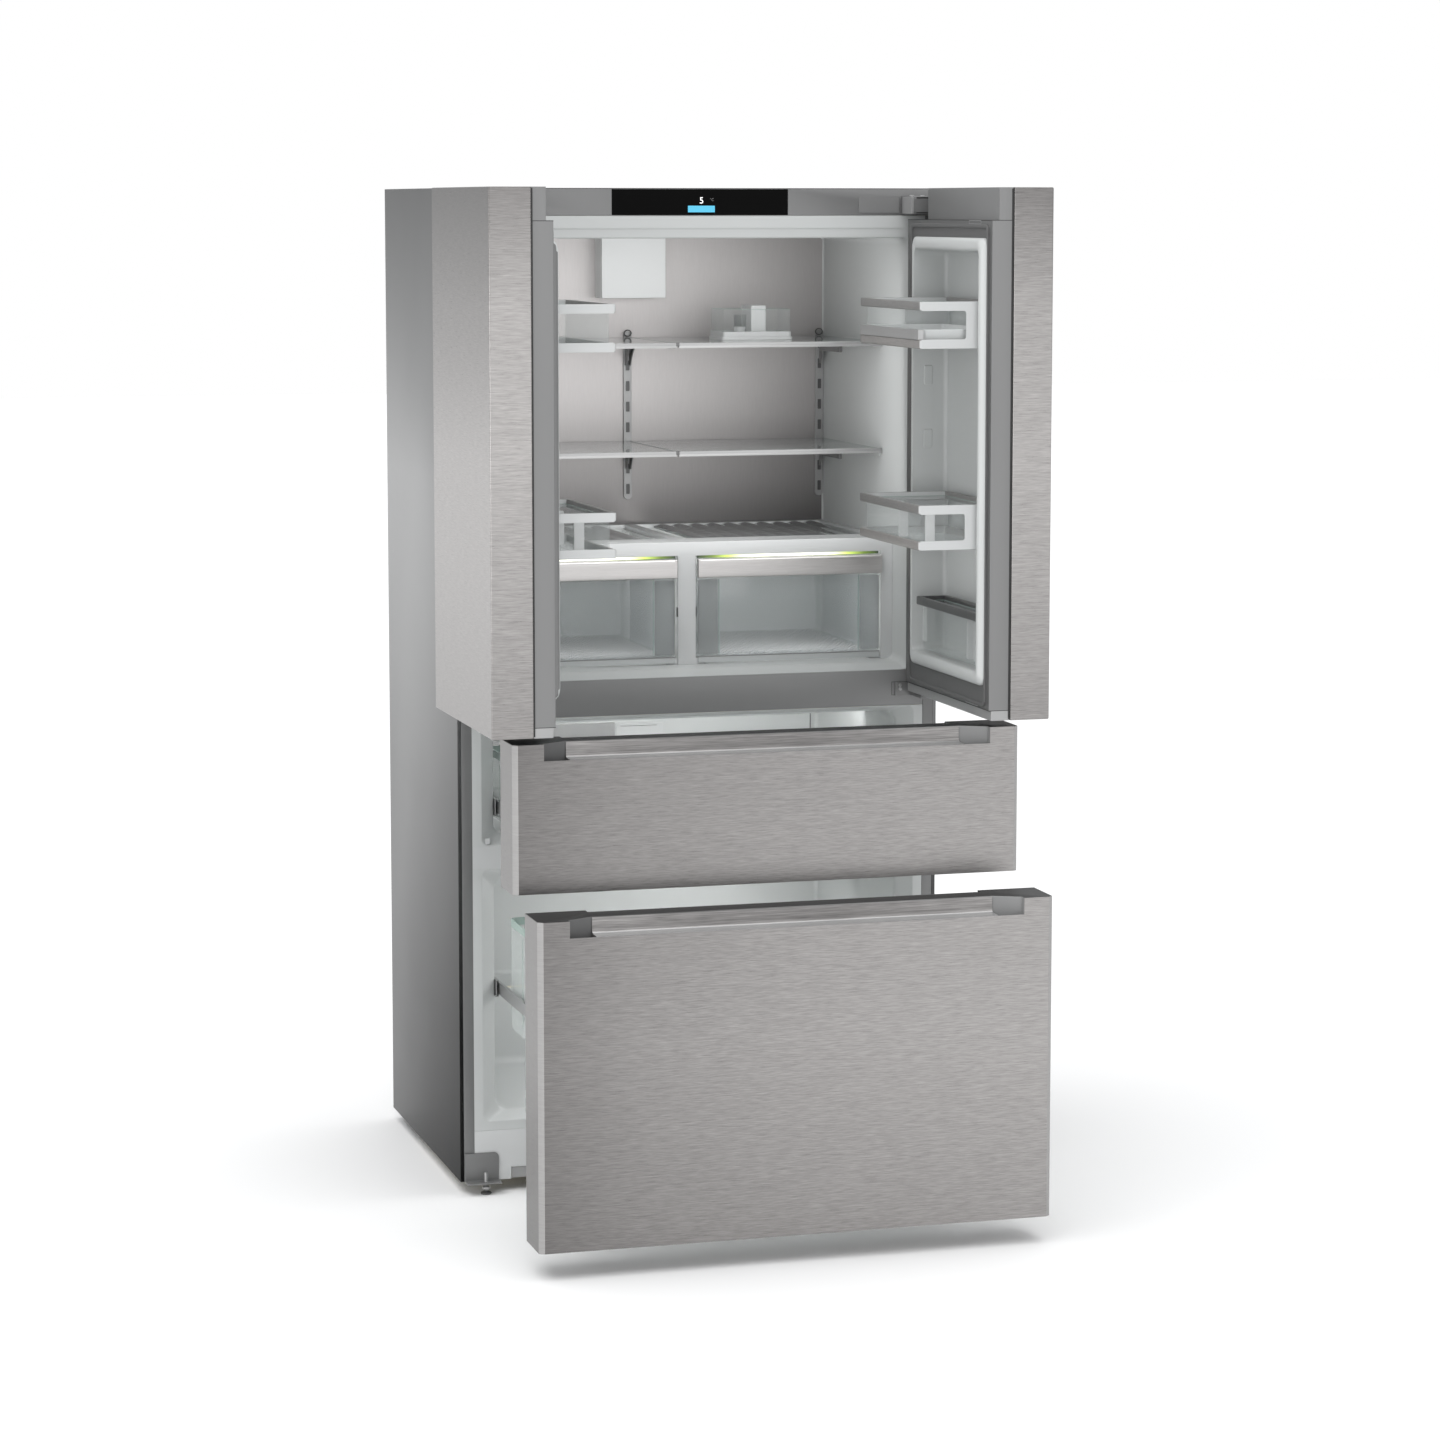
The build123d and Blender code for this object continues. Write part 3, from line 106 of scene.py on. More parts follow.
class Finish:
    # a material under construction; add() makes every node that isn't plain arithmetic
    def __init__(self, name):
        self.material = bpy.data.materials.new(name)
        self.material.use_nodes = True
        self.tree = self.material.node_tree
        self.tree.nodes.clear()
        self.place = self.add("ShaderNodeTexCoord", out="Object")

    def add(self, kind, settings=None, values=None, out=0):
        node = self.tree.nodes.new(kind)
        for name, value in (settings or {}).items():
            if name == "stops":
                ramp = node.color_ramp.elements
                while len(ramp) < len(value):
                    ramp.new(0.5)
                for element, (position, colour) in zip(ramp, value):
                    element.position = position
                    element.color = (*tone(colour), 1)
            else:
                setattr(node, name, value)
        for name, value in (values or {}).items():
            plug(self.tree, node.inputs[name], value)
        return None if out is None else Wire(self.tree, node.outputs[out])

    def noise(self, stretch, detail=2.0, roughness=0.5):
        # noise with its own frequency along each axis, per metre
        spot = self.add("ShaderNodeVectorMath", {"operation": "MULTIPLY"}, {0: self.place, 1: stretch})
        values = {"Vector": spot, "Scale": 1.0, "Detail": detail, "Roughness": roughness}
        return self.add("ShaderNodeTexNoise", {}, values, "Fac")

    def blend(self, share, first, second, kind="MIX"):
        settings = {"data_type": "RGBA", "blend_type": kind}
        return self.add("ShaderNodeMix", settings, {0: share, 6: first, 7: second}, 2)

    def along(self, axis):
        # where a point lies along one axis, in metres
        return self.add("ShaderNodeSeparateXYZ", {}, {0: self.place}, axis)

    def withPaintedShading(self, colour, paintedShading):
        # the colour with painted light and shade: lighter or darker along an axis, from a start over a span in metres
        for axis, start, span, stops in paintedShading:
            share = (self.along(axis) - start) / span
            shade = self.add("ShaderNodeValToRGB", {"stops": stops}, {"Fac": share})
            colour = self.blend(1.0, colour, shade, "MULTIPLY")
        return colour

    def bump(self, height, depth):
        values = {"Height": height, "Strength": 1.0, "Distance": depth}
        return self.add("ShaderNodeBump", {}, values, "Normal")

    def surface(self, values):
        shader = self.add("ShaderNodeBsdfPrincipled", {}, values, "BSDF")
        self.add("ShaderNodeOutputMaterial", {"target": "ALL"}, {"Surface": shader}, None)
        return self.material


def tone(level):
    # a colour as it is, or a grey from one number
    return level if isinstance(level, tuple) else (level, level, level)


# finishes; relief is in metres, specks and clouds are waves per metre

def brushedSteel(
    name, fine, hair, long, shares, contrast, clouds, cloud, rough, roughSpread, pull, relief,
    dark, light, shade, metal=1.0, paintedShading=(),
):
    steel = Finish(name)
    fineGrain = steel.noise(fine, 2.0, 0.6)
    hairGrain = steel.noise(hair, 1.0, 0.5)
    longGrain = steel.noise(long, 2.0, 0.55)
    clouds = steel.noise(clouds, 1.0)
    grain = fineGrain * shares[0] + hairGrain * shares[1] + longGrain * shares[2]
    colour = steel.blend((grain - contrast[0]) * contrast[1], dark, light)
    colour = steel.blend(clouds * cloud, colour, shade)
    return steel.surface({
        "Base Color": steel.withPaintedShading(colour, paintedShading), "Metallic": metal,
        "Roughness": rough + (grain - 0.5) * roughSpread,
        "Anisotropic": pull, "Anisotropic Rotation": 0.0, "Normal": steel.bump(grain, relief),
    })


def satinPaint(name, colour, shade, metal, rough, relief, paintedShading=(), specks=900, clouds=3, spread=0.08):
    paint = Finish(name)
    speck = paint.noise((specks,) * 3)
    cloud = paint.noise((clouds,) * 3)
    return paint.surface({
        "Base Color": paint.withPaintedShading(paint.blend(cloud, tone(colour), tone(shade)), paintedShading),
        "Metallic": metal, "Roughness": rough + (cloud - 0.5) * spread,
        "Normal": paint.bump(speck, relief),
    })


def mouldedPlastic(name, colour, shade, rough, coat, relief, gloss=0.5, specks=700, clouds=5, spread=0.06):
    plastic = Finish(name)
    speck = plastic.noise((specks,) * 3)
    cloud = plastic.noise((clouds,) * 3)
    return plastic.surface({
        "Base Color": plastic.blend(cloud, tone(colour), tone(shade)),
        "Roughness": rough + (cloud - 0.5) * spread,
        "Coat Weight": coat, "Coat Roughness": 0.12, "Specular IOR Level": gloss,
        "Normal": plastic.bump(speck, relief),
    })


def clearSheet(name, colour, shade, turn, rough, body, coat, clouds=9, spread=0.04):
    # seen square on it is nearly clear; at a slant its own colour shows
    clear = Finish(name)
    slant = clear.add("ShaderNodeLayerWeight", {}, {"Blend": 0.5}, "Facing") ** turn
    cloud = clear.noise((clouds,) * 3, 1.0)
    return clear.surface({
        "Base Color": clear.blend(cloud, colour, shade),
        "Roughness": rough + (cloud - 0.5) * spread, "Alpha": body + slant * (1 - body),
        "Coat Weight": coat, "Specular IOR Level": 0.6,
    })


def litStrip(name, middle, half, glow, stops):
    # bright in the middle of each half of the width, fading towards its ends
    strip = Finish(name)
    share = abs(abs(strip.along("X")) - middle) / half
    light = strip.add("ShaderNodeValToRGB", {"stops": stops}, {"Fac": share})
    return strip.surface({
        "Base Color": light, "Roughness": 0.3, "Emission Color": light, "Emission Strength": glow,
    })


steelLook = {
    "fine": (48, 48, 1000), "hair": (20, 20, 2100), "long": (26, 26, 300),  # grain, waves per metre
    "shares": (0.5, 0.3, 0.2), "contrast": (0.34, 3.1),  # how the grains add up, and their darkest level and gain
    "clouds": (1.7, 1.7, 2.3), "cloud": 0.3,  # size and strength of the slow changes of tone
    "rough": 0.3, "roughSpread": 0.2, "pull": 0.55, "relief": 0.00008,
    "dark": (0.228, 0.219, 0.215), "light": (0.415, 0.40, 0.392), "shade": (0.285, 0.273, 0.267),
}
railGrain = {"fine": (60, 60, 700), "rough": 0.4, "metal": 0.45}
steelLooks = {
    # what differs from the plain steel; the painted light and shade gradients are (axis, start, span, stops)
    "door_steel": {
        # painted light and shade: the door steel darker at the top, lighter through the middle
        "paintedShading": [("Z", 0.897, 0.923, [(0.0, 0.97), (0.3, 1.25), (0.5, 1.38), (0.78, 1.2), (1.0, 0.68)])],
    },
    "drawerSteel": {
        # painted shade and light: the drawer fronts darker towards the left and the bottom, lighter towards the right
        "paintedShading": [("X", -0.46, 0.92, [(0.0, 0.64), (0.2, 0.86), (0.5, 1.0), (1.0, 1.14)]),
                  ("Z", 0.04, 0.86, [(0.0, 0.86), (0.4, 1.04), (0.7, 0.98), (1.0, 0.94)])],
    },
    "rear_steel": {
        "fine": (900, 30, 60), "hair": (700, 30, 40), "long": (200, 20, 14),
        "rough": 0.45, "roughSpread": 0.04, "relief": 0.000004, "metal": 0.55,
        "dark": (0.51, 0.49, 0.486), "light": (0.55, 0.527, 0.523), "shade": (0.53, 0.51, 0.505),
        # painted shade: the rear wall darker towards the bottom and the right
        "paintedShading": [("Z", 1.17, 0.56, [(0.0, 0.36), (0.14, 0.6), (0.38, 0.9), (0.7, 1.04), (1.0, 1.15)]),
                  ("X", -0.4, 0.8, [(0.0, 1.12), (0.55, 1.0), (0.8, 0.84), (1.0, 0.6)])],
    },
    "grip_steel": {
        "fine": (14, 30, 520), "rough": 0.42, "metal": 0.9,
        "dark": (0.185, 0.178, 0.175), "light": (0.46, 0.444, 0.436), "shade": (0.285, 0.275, 0.27),
        # painted shade: the grip strip darker between its ends
        "paintedShading": [("X", -0.36, 0.72, [(0.0, 1.05), (0.22, 0.85), (0.6, 0.75), (1.0, 1.05)])],
    },
    "chamfer": {
        "rough": 0.5, "roughSpread": 0.06, "metal": 0.8, "pull": 0.0, "relief": 0.00002,
        "dark": (0.34, 0.333, 0.33), "light": (0.42, 0.412, 0.408), "shade": (0.38, 0.372, 0.368),
    },
    # painted highlight: a brighter copy of the door steel for the skin's folded hem
    "hem": {"rough": 0.22, "dark": (0.5, 0.48, 0.47), "light": (0.62, 0.6, 0.59), "shade": (0.55, 0.53, 0.52)},
    "railSteel": {
        **railGrain, "dark": (0.26, 0.255, 0.25), "light": (0.38, 0.37, 0.365), "shade": (0.31, 0.305, 0.3),
    },
    "railSteelLow": {
        **railGrain, "dark": (0.34, 0.325, 0.315), "light": (0.46, 0.44, 0.43), "shade": (0.39, 0.375, 0.365),
    },
    "handle_metal": {
        "fine": (30, 30, 900), "rough": 0.36, "relief": 0.00002,
        "dark": (0.58, 0.56, 0.55), "light": (0.7, 0.68, 0.67), "shade": (0.62, 0.6, 0.59),
    },
}
paintLooks = {
    # tone, second tone, metal, roughness, relief, painted light and shade gradients
    # painted shade and light: the cabinet's sides nearly black at the foot, brightest about two thirds up, darker
    # again at the top
    "shell_steel": (0.4, 0.44, 0.75, 0.34, 0.00002, [
        ("Z", 0.0, 1.82, [
            (0.0, 0.01), (0.17, 0.05), (0.39, 0.26), (0.55, 0.54), (0.71, 0.78), (0.85, 0.48), (1.0, 0.13)]),
    ]),
    # painted shade: the grip housing darker towards its left end
    "capPlastic": (0.22, 0.24, 0.0, 0.4, 0.00003, [
        ("X", -0.41, 0.82, [(0.0, 0.45), (0.2, 0.5), (0.9, 1.0), (1.0, 1.1)]),
    ]),
    "back_sheet": (0.42, 0.5, 0.85, 0.42, 0.00004),
    "frame_grey": (0.215, 0.235, 0.35, 0.42, 0.00002),
    # painted shade: a darker copy of the frame grey for the doors' inner faces
    "frameShade": (0.15, 0.165, 0.35, 0.45, 0.00002),
    # painted light: a lighter copy of the frame grey for the mullion bar, which lies in shade
    "mullionGrey": (0.265, 0.285, 0.2, 0.42, 0.00002),
    "capGrey": (0.36, 0.4, 0.3, 0.36, 0.00002),
    "hinge_metal": (0.2, 0.23, 0.4, 0.38, 0.00003),
    "rail_metal": (0.42, 0.47, 0.8, 0.32, 0.00003),
    "slotRail": (0.3, 0.33, 0.4, 0.34, 0.00002),
    "shelf_metal": (0.24, 0.27, 0.5, 0.4, 0.00002),
    "footMetal": (0.12, 0.16, 0.7, 0.35, 0.00004),
    # pale steel: the real brushed edge of the bin's tray, and a painted highlight on the grip's sill and the hinge
    # arm's end
    "stripLip": (0.42, 0.46, 0.5, 0.3, 0.00001),
    "machine_metal": (0.03, 0.045, 0.0, 0.3, 0.0001),
    "fin_aluminium": (0.6, 0.68, 1.0, 0.35, 0.00005),
}
plasticLooks = {
    # tone, second tone, roughness, coat, relief, gloss
    "darkRail": (0.055, 0.075, 0.35, 0.2, 0.00003),
    "notchGrey": (0.3, 0.34, 0.5, 0.0, 0.00004),
    "black_plastic": (0.012, 0.02, 0.5, 0.0, 0.0001),
    "groove": (0.22, 0.26, 0.5, 0.0, 0.00002),
    "grey_plastic": (0.18, 0.2, 0.42, 0.1, 0.00003),
    "white_liner": ((0.585, 0.60, 0.595), (0.62, 0.635, 0.63), 0.34, 0.1, 0.00001),
    "white_plastic": ((0.60, 0.61, 0.61), (0.64, 0.65, 0.65), 0.3, 0.1, 0.00001),
    # painted light: a brighter copy of the white plastic for the air filter, which lies in the compartment's shade
    "filterWhite": ((0.88, 0.89, 0.89), (0.92, 0.93, 0.93), 0.26, 0.2, 0.00001),
    "bin_trim": ((0.54, 0.55, 0.55), (0.57, 0.58, 0.58), 0.34, 0.1, 0.00001),
    "foam": ((0.70, 0.66, 0.54), (0.76, 0.72, 0.60), 0.85, 0.0, 0.0008),
    "seal_grey": (0.12, 0.14, 0.6, 0.0, 0.00005),
    "display_glass": (0.002, 0.003, 0.1, 0.0, 0.0, 0.03),
}
clearLooks = {
    # colour, second colour, how fast it closes at a slant, roughness, body seen square on, coat
    "shelf_glass": ((0.32, 0.34, 0.335), (0.36, 0.38, 0.375), 3.5, 0.06, 0.3, 0.1),
    "flutedGlass": ((0.42, 0.45, 0.44), (0.46, 0.49, 0.48), 3.5, 0.1, 0.7, 0.4),
    "fluteShade": ((0.14, 0.15, 0.15), (0.17, 0.18, 0.18), 3.5, 0.12, 0.7, 0.4),
    "crisperSkirt": ((0.52, 0.54, 0.54), (0.56, 0.58, 0.58), 4.0, 0.2, 0.92, 0.0),
    "clear_plastic": ((0.70, 0.76, 0.75), (0.74, 0.79, 0.78), 6.0, 0.08, 0.05, 0.2),
    "crisperClear": ((0.44, 0.48, 0.49), (0.48, 0.52, 0.53), 6.0, 0.12, 0.17, 0.2),
    "sideBand": ((0.24, 0.26, 0.255), (0.28, 0.3, 0.295), 4.0, 0.15, 0.45, 0.4),
    "paleBand": ((0.40, 0.42, 0.42), (0.44, 0.46, 0.46), 4.0, 0.15, 0.35, 0.4),
    "basketClear": ((0.66, 0.72, 0.70), (0.70, 0.75, 0.73), 6.0, 0.1, 0.12, 0.4),
    "glassEdge": ((0.42, 0.55, 0.5), (0.47, 0.6, 0.55), 4.0, 0.12, 0.7, 0.4),
}
stripLooks = {
    # middle and half width of the bright part in metres, glow, stops from the middle out
    "light_lens": (0.197, 0.176, 1.6, [
        (0.0, (1.0, 1.0, 0.94)), (0.42, (0.95, 1.0, 0.72)), (0.66, (0.42, 0.52, 0.12)),
        (0.84, (0.1, 0.15, 0.03)), (1.0, (0.02, 0.03, 0.02)),
    ]),
    "bayLight": (0.0, 0.5, 0.15, [(0.0, (0.7, 0.73, 0.73)), (1.0, (0.6, 0.63, 0.63))]),
    "digitWhite": (0.0, 0.2, 0.9, [(0.0, 0.9), (1.0, 0.8)]),
    "digitGrey": (0.0, 0.2, 0.2, [(0.0, 0.16), (1.0, 0.12)]),
    "barBlue": (0.0, 0.2, 0.8, [(0.0, (0.06, 0.36, 0.52)), (1.0, (0.05, 0.3, 0.48))]),
}
finishes = {name: brushedSteel(name, **{**steelLook, **look}) for name, look in steelLooks.items()}
for make, looks in (
    (satinPaint, paintLooks), (mouldedPlastic, plasticLooks), (clearSheet, clearLooks), (litStrip, stripLooks),
):
    for name, look in looks.items():
        finishes[name] = make(name, *look)
slotOf = {row["node"]: row["material_slot"] for row in frame["record"]["subparts"]}
for node, slot in slotOf.items():
    nodes[node].data.materials.clear()
    nodes[node].data.materials.append(finishes[slot])
print("finishes made:", len(finishes))


# camera, lights and floor

def stand(name, data=None):
    # an object of the scene that holds the data
    shown = bpy.data.objects.new(name, data)
    bpy.context.scene.collection.objects.link(shown)
    return shown


cameraLook = {
    "place": (-1.9305, -6.8047, 1.7874), "turn": 16.125, "tilt": -6.464, "lens": 97.46, "shift": -0.05,
}
camera = bpy.data.cameras.new("camera")
camera.lens = cameraLook["lens"]
camera.sensor_width = 36
camera.shift_y = cameraLook["shift"]
cameraObject = stand("camera", camera)
cameraObject.location = cameraLook["place"]
cameraObject.rotation_euler = (
    math.radians(90 + cameraLook["tilt"]), 0, math.radians(-cameraLook["turn"]))
bpy.context.scene.camera = cameraObject

lightLook = {
    "sky": ((1, 1, 1, 1), 1.0),  # what the camera sees behind the object
    "room": ((0.98, 0.99, 1, 1), 0.70),  # what lights and reflects
    "sun": (1.9, 70, (8, 8)),  # watts per square metre, its width in degrees, its lean in degrees
    "lamps": [
        # name, place, aimed at, width, height, watts
        ("lampFront", (0.9, -6.5, 2.6), (0.1, 0, 0.9), 3.4, 2.6, 32),
        ("lampLeft", (-6.0, -3.5, 2.0), (0.2, 0, 1.2), 2.6, 2.6, 62),
        ("lampFridge", (0.0, 0.02, 1.45), (0.0, 0.5, 1.43), 0.74, 0.5, 1.6),
        ("lampCrisperLeft", (-0.2, 0.11, 1.05), (-0.2, 0.5, 1.0), 0.3, 0.12, 0.55),
        ("lampCrisperRight", (0.2, 0.11, 1.05), (0.2, 0.5, 1.0), 0.3, 0.12, 0.65),
        ("lampUpperBay", (0.0, 0.2, 0.84), (0.0, 0.5, 0.78), 0.7, 0.03, 0.9),
        ("lampLowerBay", (0.05, 0.12, 0.55), (-0.1, 0.3, 0.2), 0.5, 0.2, 2.0),
    ],
    "floor": (60.0, 0.92, 0.94),  # its side in metres and its two tones
}
world = bpy.data.worlds.new("studio")
world.use_nodes = True
bpy.context.scene.world = world
tree = world.node_tree
tree.nodes.clear()
lightPath = tree.nodes.new("ShaderNodeLightPath")
choice = tree.nodes.new("ShaderNodeMixShader")
worldOut = tree.nodes.new("ShaderNodeOutputWorld")
tree.links.new(lightPath.outputs["Is Camera Ray"], choice.inputs[0])
for spot, part in ((1, "room"), (2, "sky")):
    glow = tree.nodes.new("ShaderNodeBackground")
    glow.inputs["Color"].default_value, glow.inputs["Strength"].default_value = lightLook[part]
    tree.links.new(glow.outputs[0], choice.inputs[spot])
tree.links.new(choice.outputs[0], worldOut.inputs[0])

for name, place, aim, width, height, watts in lightLook["lamps"]:
    lamp = bpy.data.lights.new(name, "AREA")
    lamp.shape = "RECTANGLE"
    lamp.size = width
    lamp.size_y = height
    lamp.energy = watts
    lampObject = stand(name, lamp)
    lampObject.location = place
    lampObject.visible_camera = False
    lampObject.rotation_euler = (Vector(aim) - Vector(place)).to_track_quat("-Z", "Y").to_euler()

watts, spread, lean = lightLook["sun"]
sun = bpy.data.lights.new("lampOverhead", "SUN")
sun.energy = watts
sun.angle = math.radians(spread)
stand("lampOverhead", sun).rotation_euler = (math.radians(lean[0]), math.radians(-lean[1]), 0)

side, darkTone, paleTone = lightLook["floor"]
floorFinish = Finish("paleFloor")
floorCloud = floorFinish.noise((0.8, 0.8, 0.8))
floorFinish.surface({
    "Base Color": floorFinish.blend(floorCloud, tone(darkTone), tone(paleTone)),
    "Roughness": 0.6 + floorCloud * 0.1,
})
floorMesh = bpy.data.meshes.new("floor")
floorMesh.from_pydata(
    [(x * side / 2, y * side / 2, 0) for x, y in ((-1, -1), (1, -1), (1, 1), (-1, 1))], [], [(0, 1, 2, 3)])
floorMesh.materials.append(floorFinish.material)
stand("floor", floorMesh)
bpy.context.scene.view_settings.view_transform = "Standard"
print("camera, lights and floor set")


# building shapes, in millimetres; a slab ends with its corner radius, its edge radius and its finish's number

def grown(span, by):
    return (span[0] - by, span[1] + by)


def about(middle, half):
    return (middle - half, middle + half)


def mirrored(hand, span):
    # a span across the width, on the left for -1 and on the right for 1
    return tuple(sorted(hand * value for value in span))


def lifted(plane, first, second, at):
    # a point given in one plane and by its distance along the third axis
    return {"xy": (first, second, at), "xz": (first, at, second), "yz": (at, first, second)}[plane]


def ring(plane, first, second, radius, at, steps=5):
    # the outline of a rounded rectangle
    corners = (
        (first[1] - radius, second[0] + radius, -90), (first[1] - radius, second[1] - radius, 0),
        (first[0] + radius, second[1] - radius, 90), (first[0] + radius, second[0] + radius, 180),
    )
    spots = []
    for across, up, start in corners:
        for step in range(steps + 1):
            turn = math.radians(start + 90 * step / steps)
            spots.append(lifted(plane, across + radius * math.cos(turn), up + radius * math.sin(turn), at))
    return spots


def mixRings(one, two, share):
    return [tuple(a + (b - a) * share for a, b in zip(first, second)) for first, second in zip(one, two)]


def roundOver(radius, steps=3):
    # a quarter round from a side to a face, as (inset from the side, distance from the face)
    turns = [math.radians(90 * step / steps) for step in range(steps + 1)]
    return [(radius * (1 - math.cos(turn)), radius * (1 - math.sin(turn))) for turn in turns]


class Shape:
    # a closed form built from rings of points; place turns its own coordinates into the model's
    def __init__(self, place=None):
        self.mesh = bmesh.new()
        self.place = place or (lambda *spot: spot)

    def loft(self, rings, closed=False, start=True, end=True, look=0, capLook=None):
        rows = []
        for spots in rings:
            rows.append([self.mesh.verts.new([value * mm for value in self.place(*spot)]) for spot in spots])
        pairs = list(zip(rows, rows[1:])) + ([(rows[-1], rows[0])] if closed else [])
        for one, two in pairs:
            for index in range(len(one)):
                after = (index + 1) % len(one)
                self.mesh.faces.new((one[index], one[after], two[after], two[index])).material_index = look
        for wanted, row in ((start, rows[0]), (end, rows[-1])):
            if wanted and not closed:
                self.mesh.faces.new(row).material_index = look if capLook is None else capLook
        return self

    def rims(self, plane, first, second, corner, sections, least, closed=False, look=0, capLook=None):
        # one rounded rectangle drawn in and moved along through the sections
        return self.loft([
            ring(plane, grown(first, -inset), grown(second, -inset), max(corner - inset, least), at)
            for inset, at in sections
        ], closed=closed, look=look, capLook=capLook)

    def prism(self, plane, outline, span, look=0):
        return self.loft([[lifted(plane, *spot, at) for spot in outline] for at in span], look=look)

    def box(self, x, y, z, look=0):
        return self.prism("xy", [(x[0], y[0]), (x[1], y[0]), (x[1], y[1]), (x[0], y[1])], z, look)

    def slab(self, plane, first, second, span, corner, edge, look=0, capLook=None):
        # a plate with rounded corners and eased edges
        ease = roundOver(edge, 2)
        sections = [(inset, span[0] + back) for inset, back in reversed(ease)]
        sections += [(inset, span[1] - back) for inset, back in ease]
        return self.rims(plane, first, second, corner, sections, 0.05, look=look, capLook=capLook)

    def band(self, plane, first, second, span, width, corner, edge, look=0):
        # a frame that runs round a rounded rectangle, its four long edges eased
        low, high = span
        sections = [
            (0, low + edge), (0, high - edge), (edge * 0.3, high - edge * 0.3), (edge, high),
            (width - edge, high), (width - edge * 0.3, high - edge * 0.3), (width, high - edge),
            (width, low + edge), (width - edge, low), (edge, low),
        ]
        return self.rims(plane, first, second, corner, sections, 0.3, closed=True, look=look)

    def tub(self, x, y, z, wall, corner, foot, lean=0.0, edge=0.6, look=0, rimLook=None):
        # an open-topped moulded box; lean draws its bottom in
        low, high = z
        rows = [(inset, low + back) for inset, back in reversed(roundOver(foot))] + [(0, high - edge)]
        rim = [(0, high - edge), (edge, high), (wall - edge, high), (wall, high - edge)]
        inside = [(wall, high - edge)] + [(wall + inset, low + wall + back) for inset, back in roundOver(foot)]
        parts = ((rows, True, False, look), (rim, False, False, look if rimLook is None else rimLook),
                 (inside, False, True, look))
        for sections, start, end, paint in parts:
            rings = []
            for inset, at in sections:
                inset += lean * (high - at) / (high - low)
                rings.append(ring("xy", grown(x, -inset), grown(y, -inset), max(corner - inset, 0.6), at))
            self.loft(rings, start=start, end=end, look=paint)
        return self

    def turned(self, start, axis, profile, sides=24, look=0):
        # a form turned about an axis; profile holds (distance along it, radius)
        along = Vector(axis).normalized()
        side = along.orthogonal().normalized()
        other = along.cross(side)
        turns = [2 * math.pi * index / sides for index in range(sides)]
        spokes = [side * math.cos(turn) + other * math.sin(turn) for turn in turns]
        return self.loft([
            [tuple(Vector(start) + along * distance + spoke * radius) for spoke in spokes]
            for distance, radius in profile
        ], look=look)

    def build(self, name):
        bmesh.ops.remove_doubles(self.mesh, verts=self.mesh.verts, dist=2e-6)
        bmesh.ops.recalc_face_normals(self.mesh, faces=self.mesh.faces)
        mesh = bpy.data.meshes.new(name)
        self.mesh.to_mesh(mesh)
        self.mesh.free()
        return mesh

    def piece(self, name, body, slot, replaced=(), looks=(), angle=40):
        # looks names the finishes that the faces' numbers stand for
        mesh = self.build(name)
        for look in looks or (slot,):
            mesh.materials.append(finishes[look])
        soften(mesh, angle)
        return evenShading(addPiece(name, mesh, body, replaced))


def evenShading(piece):
    # keeps a big flat face flat beside its rounded edges
    shading = piece.modifiers.new("shading", "WEIGHTED_NORMAL")
    shading.weight = 100
    shading.keep_sharp = True
    return piece


def paintFaces(piece, rules):
    # rules: (finish's number, test of a face's normal and middle, the middle in millimetres)
    for face in piece.data.polygons:
        for number, test in rules:
            if test(face.normal, face.center / mm):
                face.material_index = number
    return piece


def soften(mesh, angle=40):
    mesh.polygons.foreach_set("use_smooth", [True] * len(mesh.polygons))
    mesh.set_sharp_from_angle(angle=math.radians(angle))


def addPiece(name, mesh, body, replaced=()):
    # a finished mesh becomes a piece that rides on a body
    piece = stand(name, mesh)
    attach(piece, body)
    if replaced:
        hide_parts(*replaced)
    return piece


def meshOf(piece):
    # the piece's mesh with its modifiers worked in
    bpy.context.view_layer.update()
    return bpy.data.meshes.new_from_object(piece.evaluated_get(bpy.context.evaluated_depsgraph_get()))


def carve(piece, *cutters):
    piece.modifiers.clear()
    for cutter in cutters:
        tool = stand("cutter", cutter.build("cutter"))
        cut = piece.modifiers.new("cut", "BOOLEAN")
        cut.object = tool
        cut.operation = "DIFFERENCE"
        cut.solver = "EXACT"
        mesh = meshOf(piece)
        piece.modifiers.clear()
        piece.data = mesh
        bpy.data.objects.remove(tool)
    soften(piece.data)
    return evenShading(piece)


def roundEdges(piece, width, segments=2, angle=35):
    piece.modifiers.clear()
    bevel = piece.modifiers.new("edges", "BEVEL")
    bevel.width = width * mm
    bevel.segments = segments
    bevel.limit_method = "ANGLE"
    bevel.angle_limit = math.radians(angle)
    bevel.harden_normals = True
    return piece


bodyOf = {node: body for body, members in frame["record"]["behaviour"]["bodies"].items() for node in members}


def roundedCopy(node, width, segments=2, look=None, paints=(), cuts=()):
    # the node's own shape with its corners eased; paints holds (finish, test of a face's middle in mm),
    # and cuts the heights at which a face may change its finish
    shape = bmesh.new()
    shape.from_mesh(nodes[node].data)
    bmesh.ops.remove_doubles(shape, verts=shape.verts, dist=1e-6)
    bmesh.ops.dissolve_limit(shape, angle_limit=math.radians(2), verts=shape.verts, edges=shape.edges)
    for height in cuts:
        parts = [*shape.verts, *shape.edges, *shape.faces]
        bmesh.ops.bisect_plane(shape, geom=parts, dist=1e-6, plane_co=(0, 0, height * mm), plane_no=(0, 0, 1))
    for face in shape.faces:
        middle = face.calc_center_median() / mm
        face.material_index = next((index + 1 for index, (paint, test) in enumerate(paints) if test(*middle)), 0)
    mesh = bpy.data.meshes.new(node + "_rounded")
    shape.to_mesh(mesh)
    shape.free()
    for paint in (look or slotOf[node], *(paint for paint, test in paints)):
        mesh.materials.append(finishes[paint])
    mesh.polygons.foreach_set("use_smooth", [True] * len(mesh.polygons))
    return roundEdges(addPiece(node + "_rounded", mesh, bodyOf[node], (node,)), width, segments)


# doors

